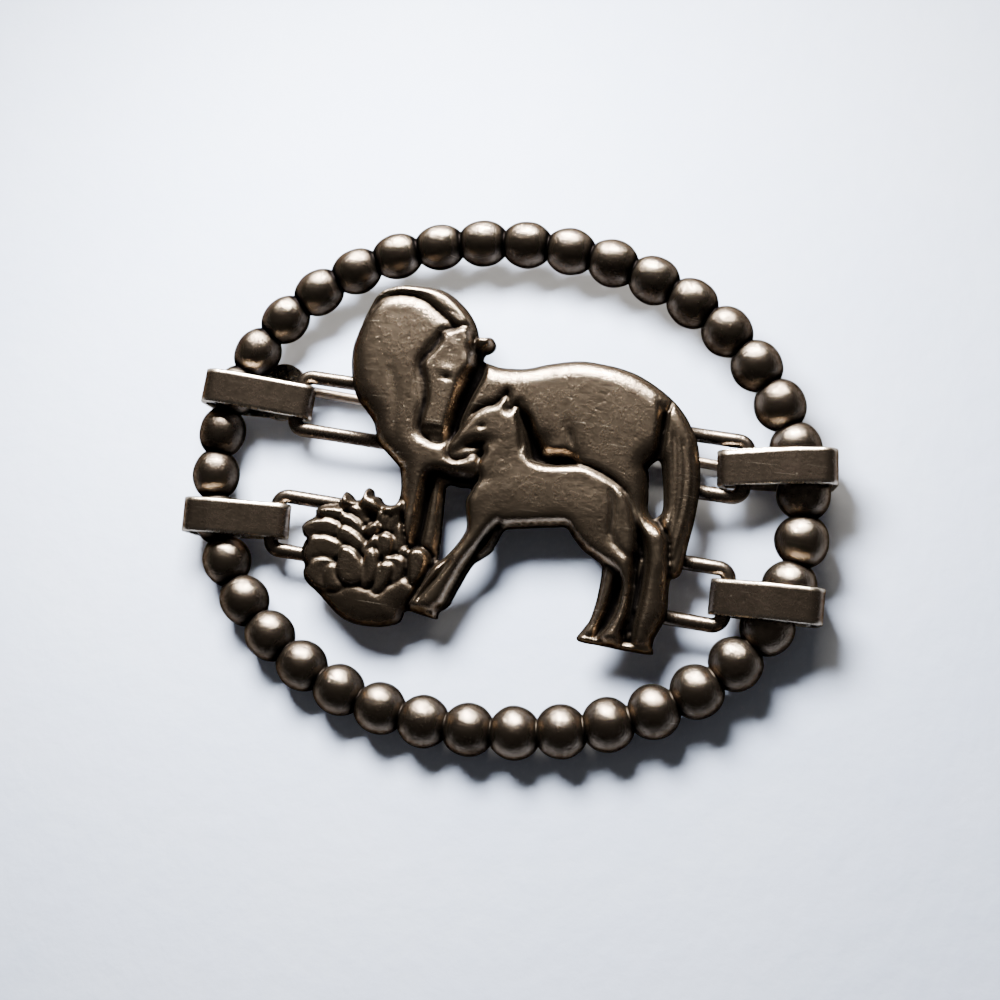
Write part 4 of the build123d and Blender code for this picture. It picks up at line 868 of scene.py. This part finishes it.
# Pin
# The pin is drawn silver wire, tapered to its point, and lies behind the plaque. Its knuckle
# sits between the two ears of the hinge.
pin_silver = old_silver("pin silver", worn=colour("7a6e62"), patina=colour("544a42"),
                        tarnish_and_shade_colour=colour("2a2522"), rough=0.28, marks=0.3)
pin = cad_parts["pin_stem"]
pin.data.materials.clear()
pin.data.materials.append(pin_silver)

# Table
# The brooch lies on a sheet of matt white paper that is larger than the view. It rests on
# its pin and on the lowest beads, so the paper leans a little against the ring's plane.
paper_half = 600
pin_line_y = 4.5
lowest_bead_y = -ring_half_height
lowest_bead_radius = bead_radius * (1 + bead_swell * math.cos(math.pi / 4))
paper_play = 0.04
paper_lean = (ring_plane - lowest_bead_radius - paper_play) / (pin_line_y - lowest_bead_y)
fittings = [vert.co / MM for node in ("band_upper_left", "band_upper_right", "pin_stem")
            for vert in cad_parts[node].data.vertices]
pin_line_depth = paper_play / 2 - min(place.z - ring_plane + paper_lean * (place.y - pin_line_y)
                                      for place in fittings)
paper_form = bmesh.new()
bmesh.ops.create_grid(paper_form, x_segments=2, y_segments=2, size=paper_half)
for vert in paper_form.verts:
    vert.co = in_frame(vert.co.x, vert.co.y, -pin_line_depth - paper_lean * (vert.co.y - pin_line_y))
paper_mesh = bpy.data.meshes.new("paper")
paper_form.to_mesh(paper_mesh)
paper_form.free()
paper = bpy.data.objects.new("paper", paper_mesh)
bpy.context.scene.collection.objects.link(paper)
paper_finish = bpy.data.materials.new("matt paper")
paper_finish.use_nodes = True
paper_tree = paper_finish.node_tree
paper_start = Finish(paper_tree)
paper_place = paper_start.node("ShaderNodeTexCoord", output=3)
fibres = paper_place.clouds(scale=500, detail=6)
stains = paper_place.clouds(scale=40, detail=2)
paper_surface = paper_tree.nodes["Principled BSDF"]
paper_tint = (stains * 0.7 + fibres * 0.3).within(0.35, 0.65).between(colour("d6dff2"), colour("cdd8ef"))
paper_tree.links.new(paper_tint.socket, paper_surface.inputs["Base Color"])
paper_surface.inputs["Roughness"].default_value = 0.9
paper_bump = paper_start.node("ShaderNodeBump", None,
                              {"Strength": 0.5, "Distance": 0.0002, "Height": fibres})
paper_tree.links.new(paper_bump.socket, paper_surface.inputs["Normal"])
paper_mesh.materials.append(paper_finish)

# Light
# A small soft lamp stands close by, above and behind the ring's upper left, so that the paper
# is brightest there. A low window far behind it draws the highlights on the metal.


def soft_light(name, place, aim, width, height, power, tint, mirrored):
    """A soft light turned towards its aim. Either metal mirrors it, or it lights what is matt."""
    lamp = bpy.data.lights.new(name, "AREA")
    lamp.shape = "RECTANGLE"
    lamp.size, lamp.size_y = width, height
    lamp.energy = power
    lamp.color = tint
    light = bpy.data.objects.new(name, lamp)
    way = Vector(aim) - Vector(place)
    light.matrix_world = Matrix.Translation(place) @ way.to_track_quat("-Z", "Y").to_matrix().to_4x4()
    light.visible_glossy = mirrored
    light.visible_diffuse = not mirrored
    bpy.context.scene.collection.objects.link(light)


soft_light("lamp", place=in_frame(-17, 33, 52), aim=in_frame(0, 0), width=0.034, height=0.024,
           power=0.39, tint=(0.95, 0.97, 1.0), mirrored=False)
soft_light("low window", place=(-0.045, 0.220, 0.105), aim=(0, 0, 0), width=0.13, height=0.045,
           power=16.0, tint=(1.0, 0.95, 0.88), mirrored=True)
world = bpy.data.worlds.new("room")
world.use_nodes = True
world.node_tree.nodes["Background"].inputs["Color"].default_value = (1.0, 0.94, 0.89, 1)
world.node_tree.nodes["Background"].inputs["Strength"].default_value = 0.08
bpy.context.scene.world = world

# Camera
# It looks down on the brooch from in front and a little to the right, and leans to one side,
# as the photograph was taken.
camera_place = (14.68, -11.76, 88.5)
camera_aim = (0.345, -1.25, 0.0)
camera_lean = math.radians(10.33)
lens = 43.2
eye = bpy.data.cameras.new("camera")
eye.lens = lens
eye.sensor_width = 36
eye.clip_start = 0.01
camera = bpy.data.objects.new("camera", eye)
ahead = (in_frame(*camera_aim) - in_frame(*camera_place)).normalized()
right = ahead.cross(Vector((-math.sin(camera_lean), math.cos(camera_lean), 0))).normalized()
turned = Matrix((right, right.cross(ahead), -ahead)).transposed().to_4x4()
camera.matrix_world = Matrix.Translation(in_frame(*camera_place)) @ turned
bpy.context.scene.collection.objects.link(camera)
bpy.context.scene.camera = camera
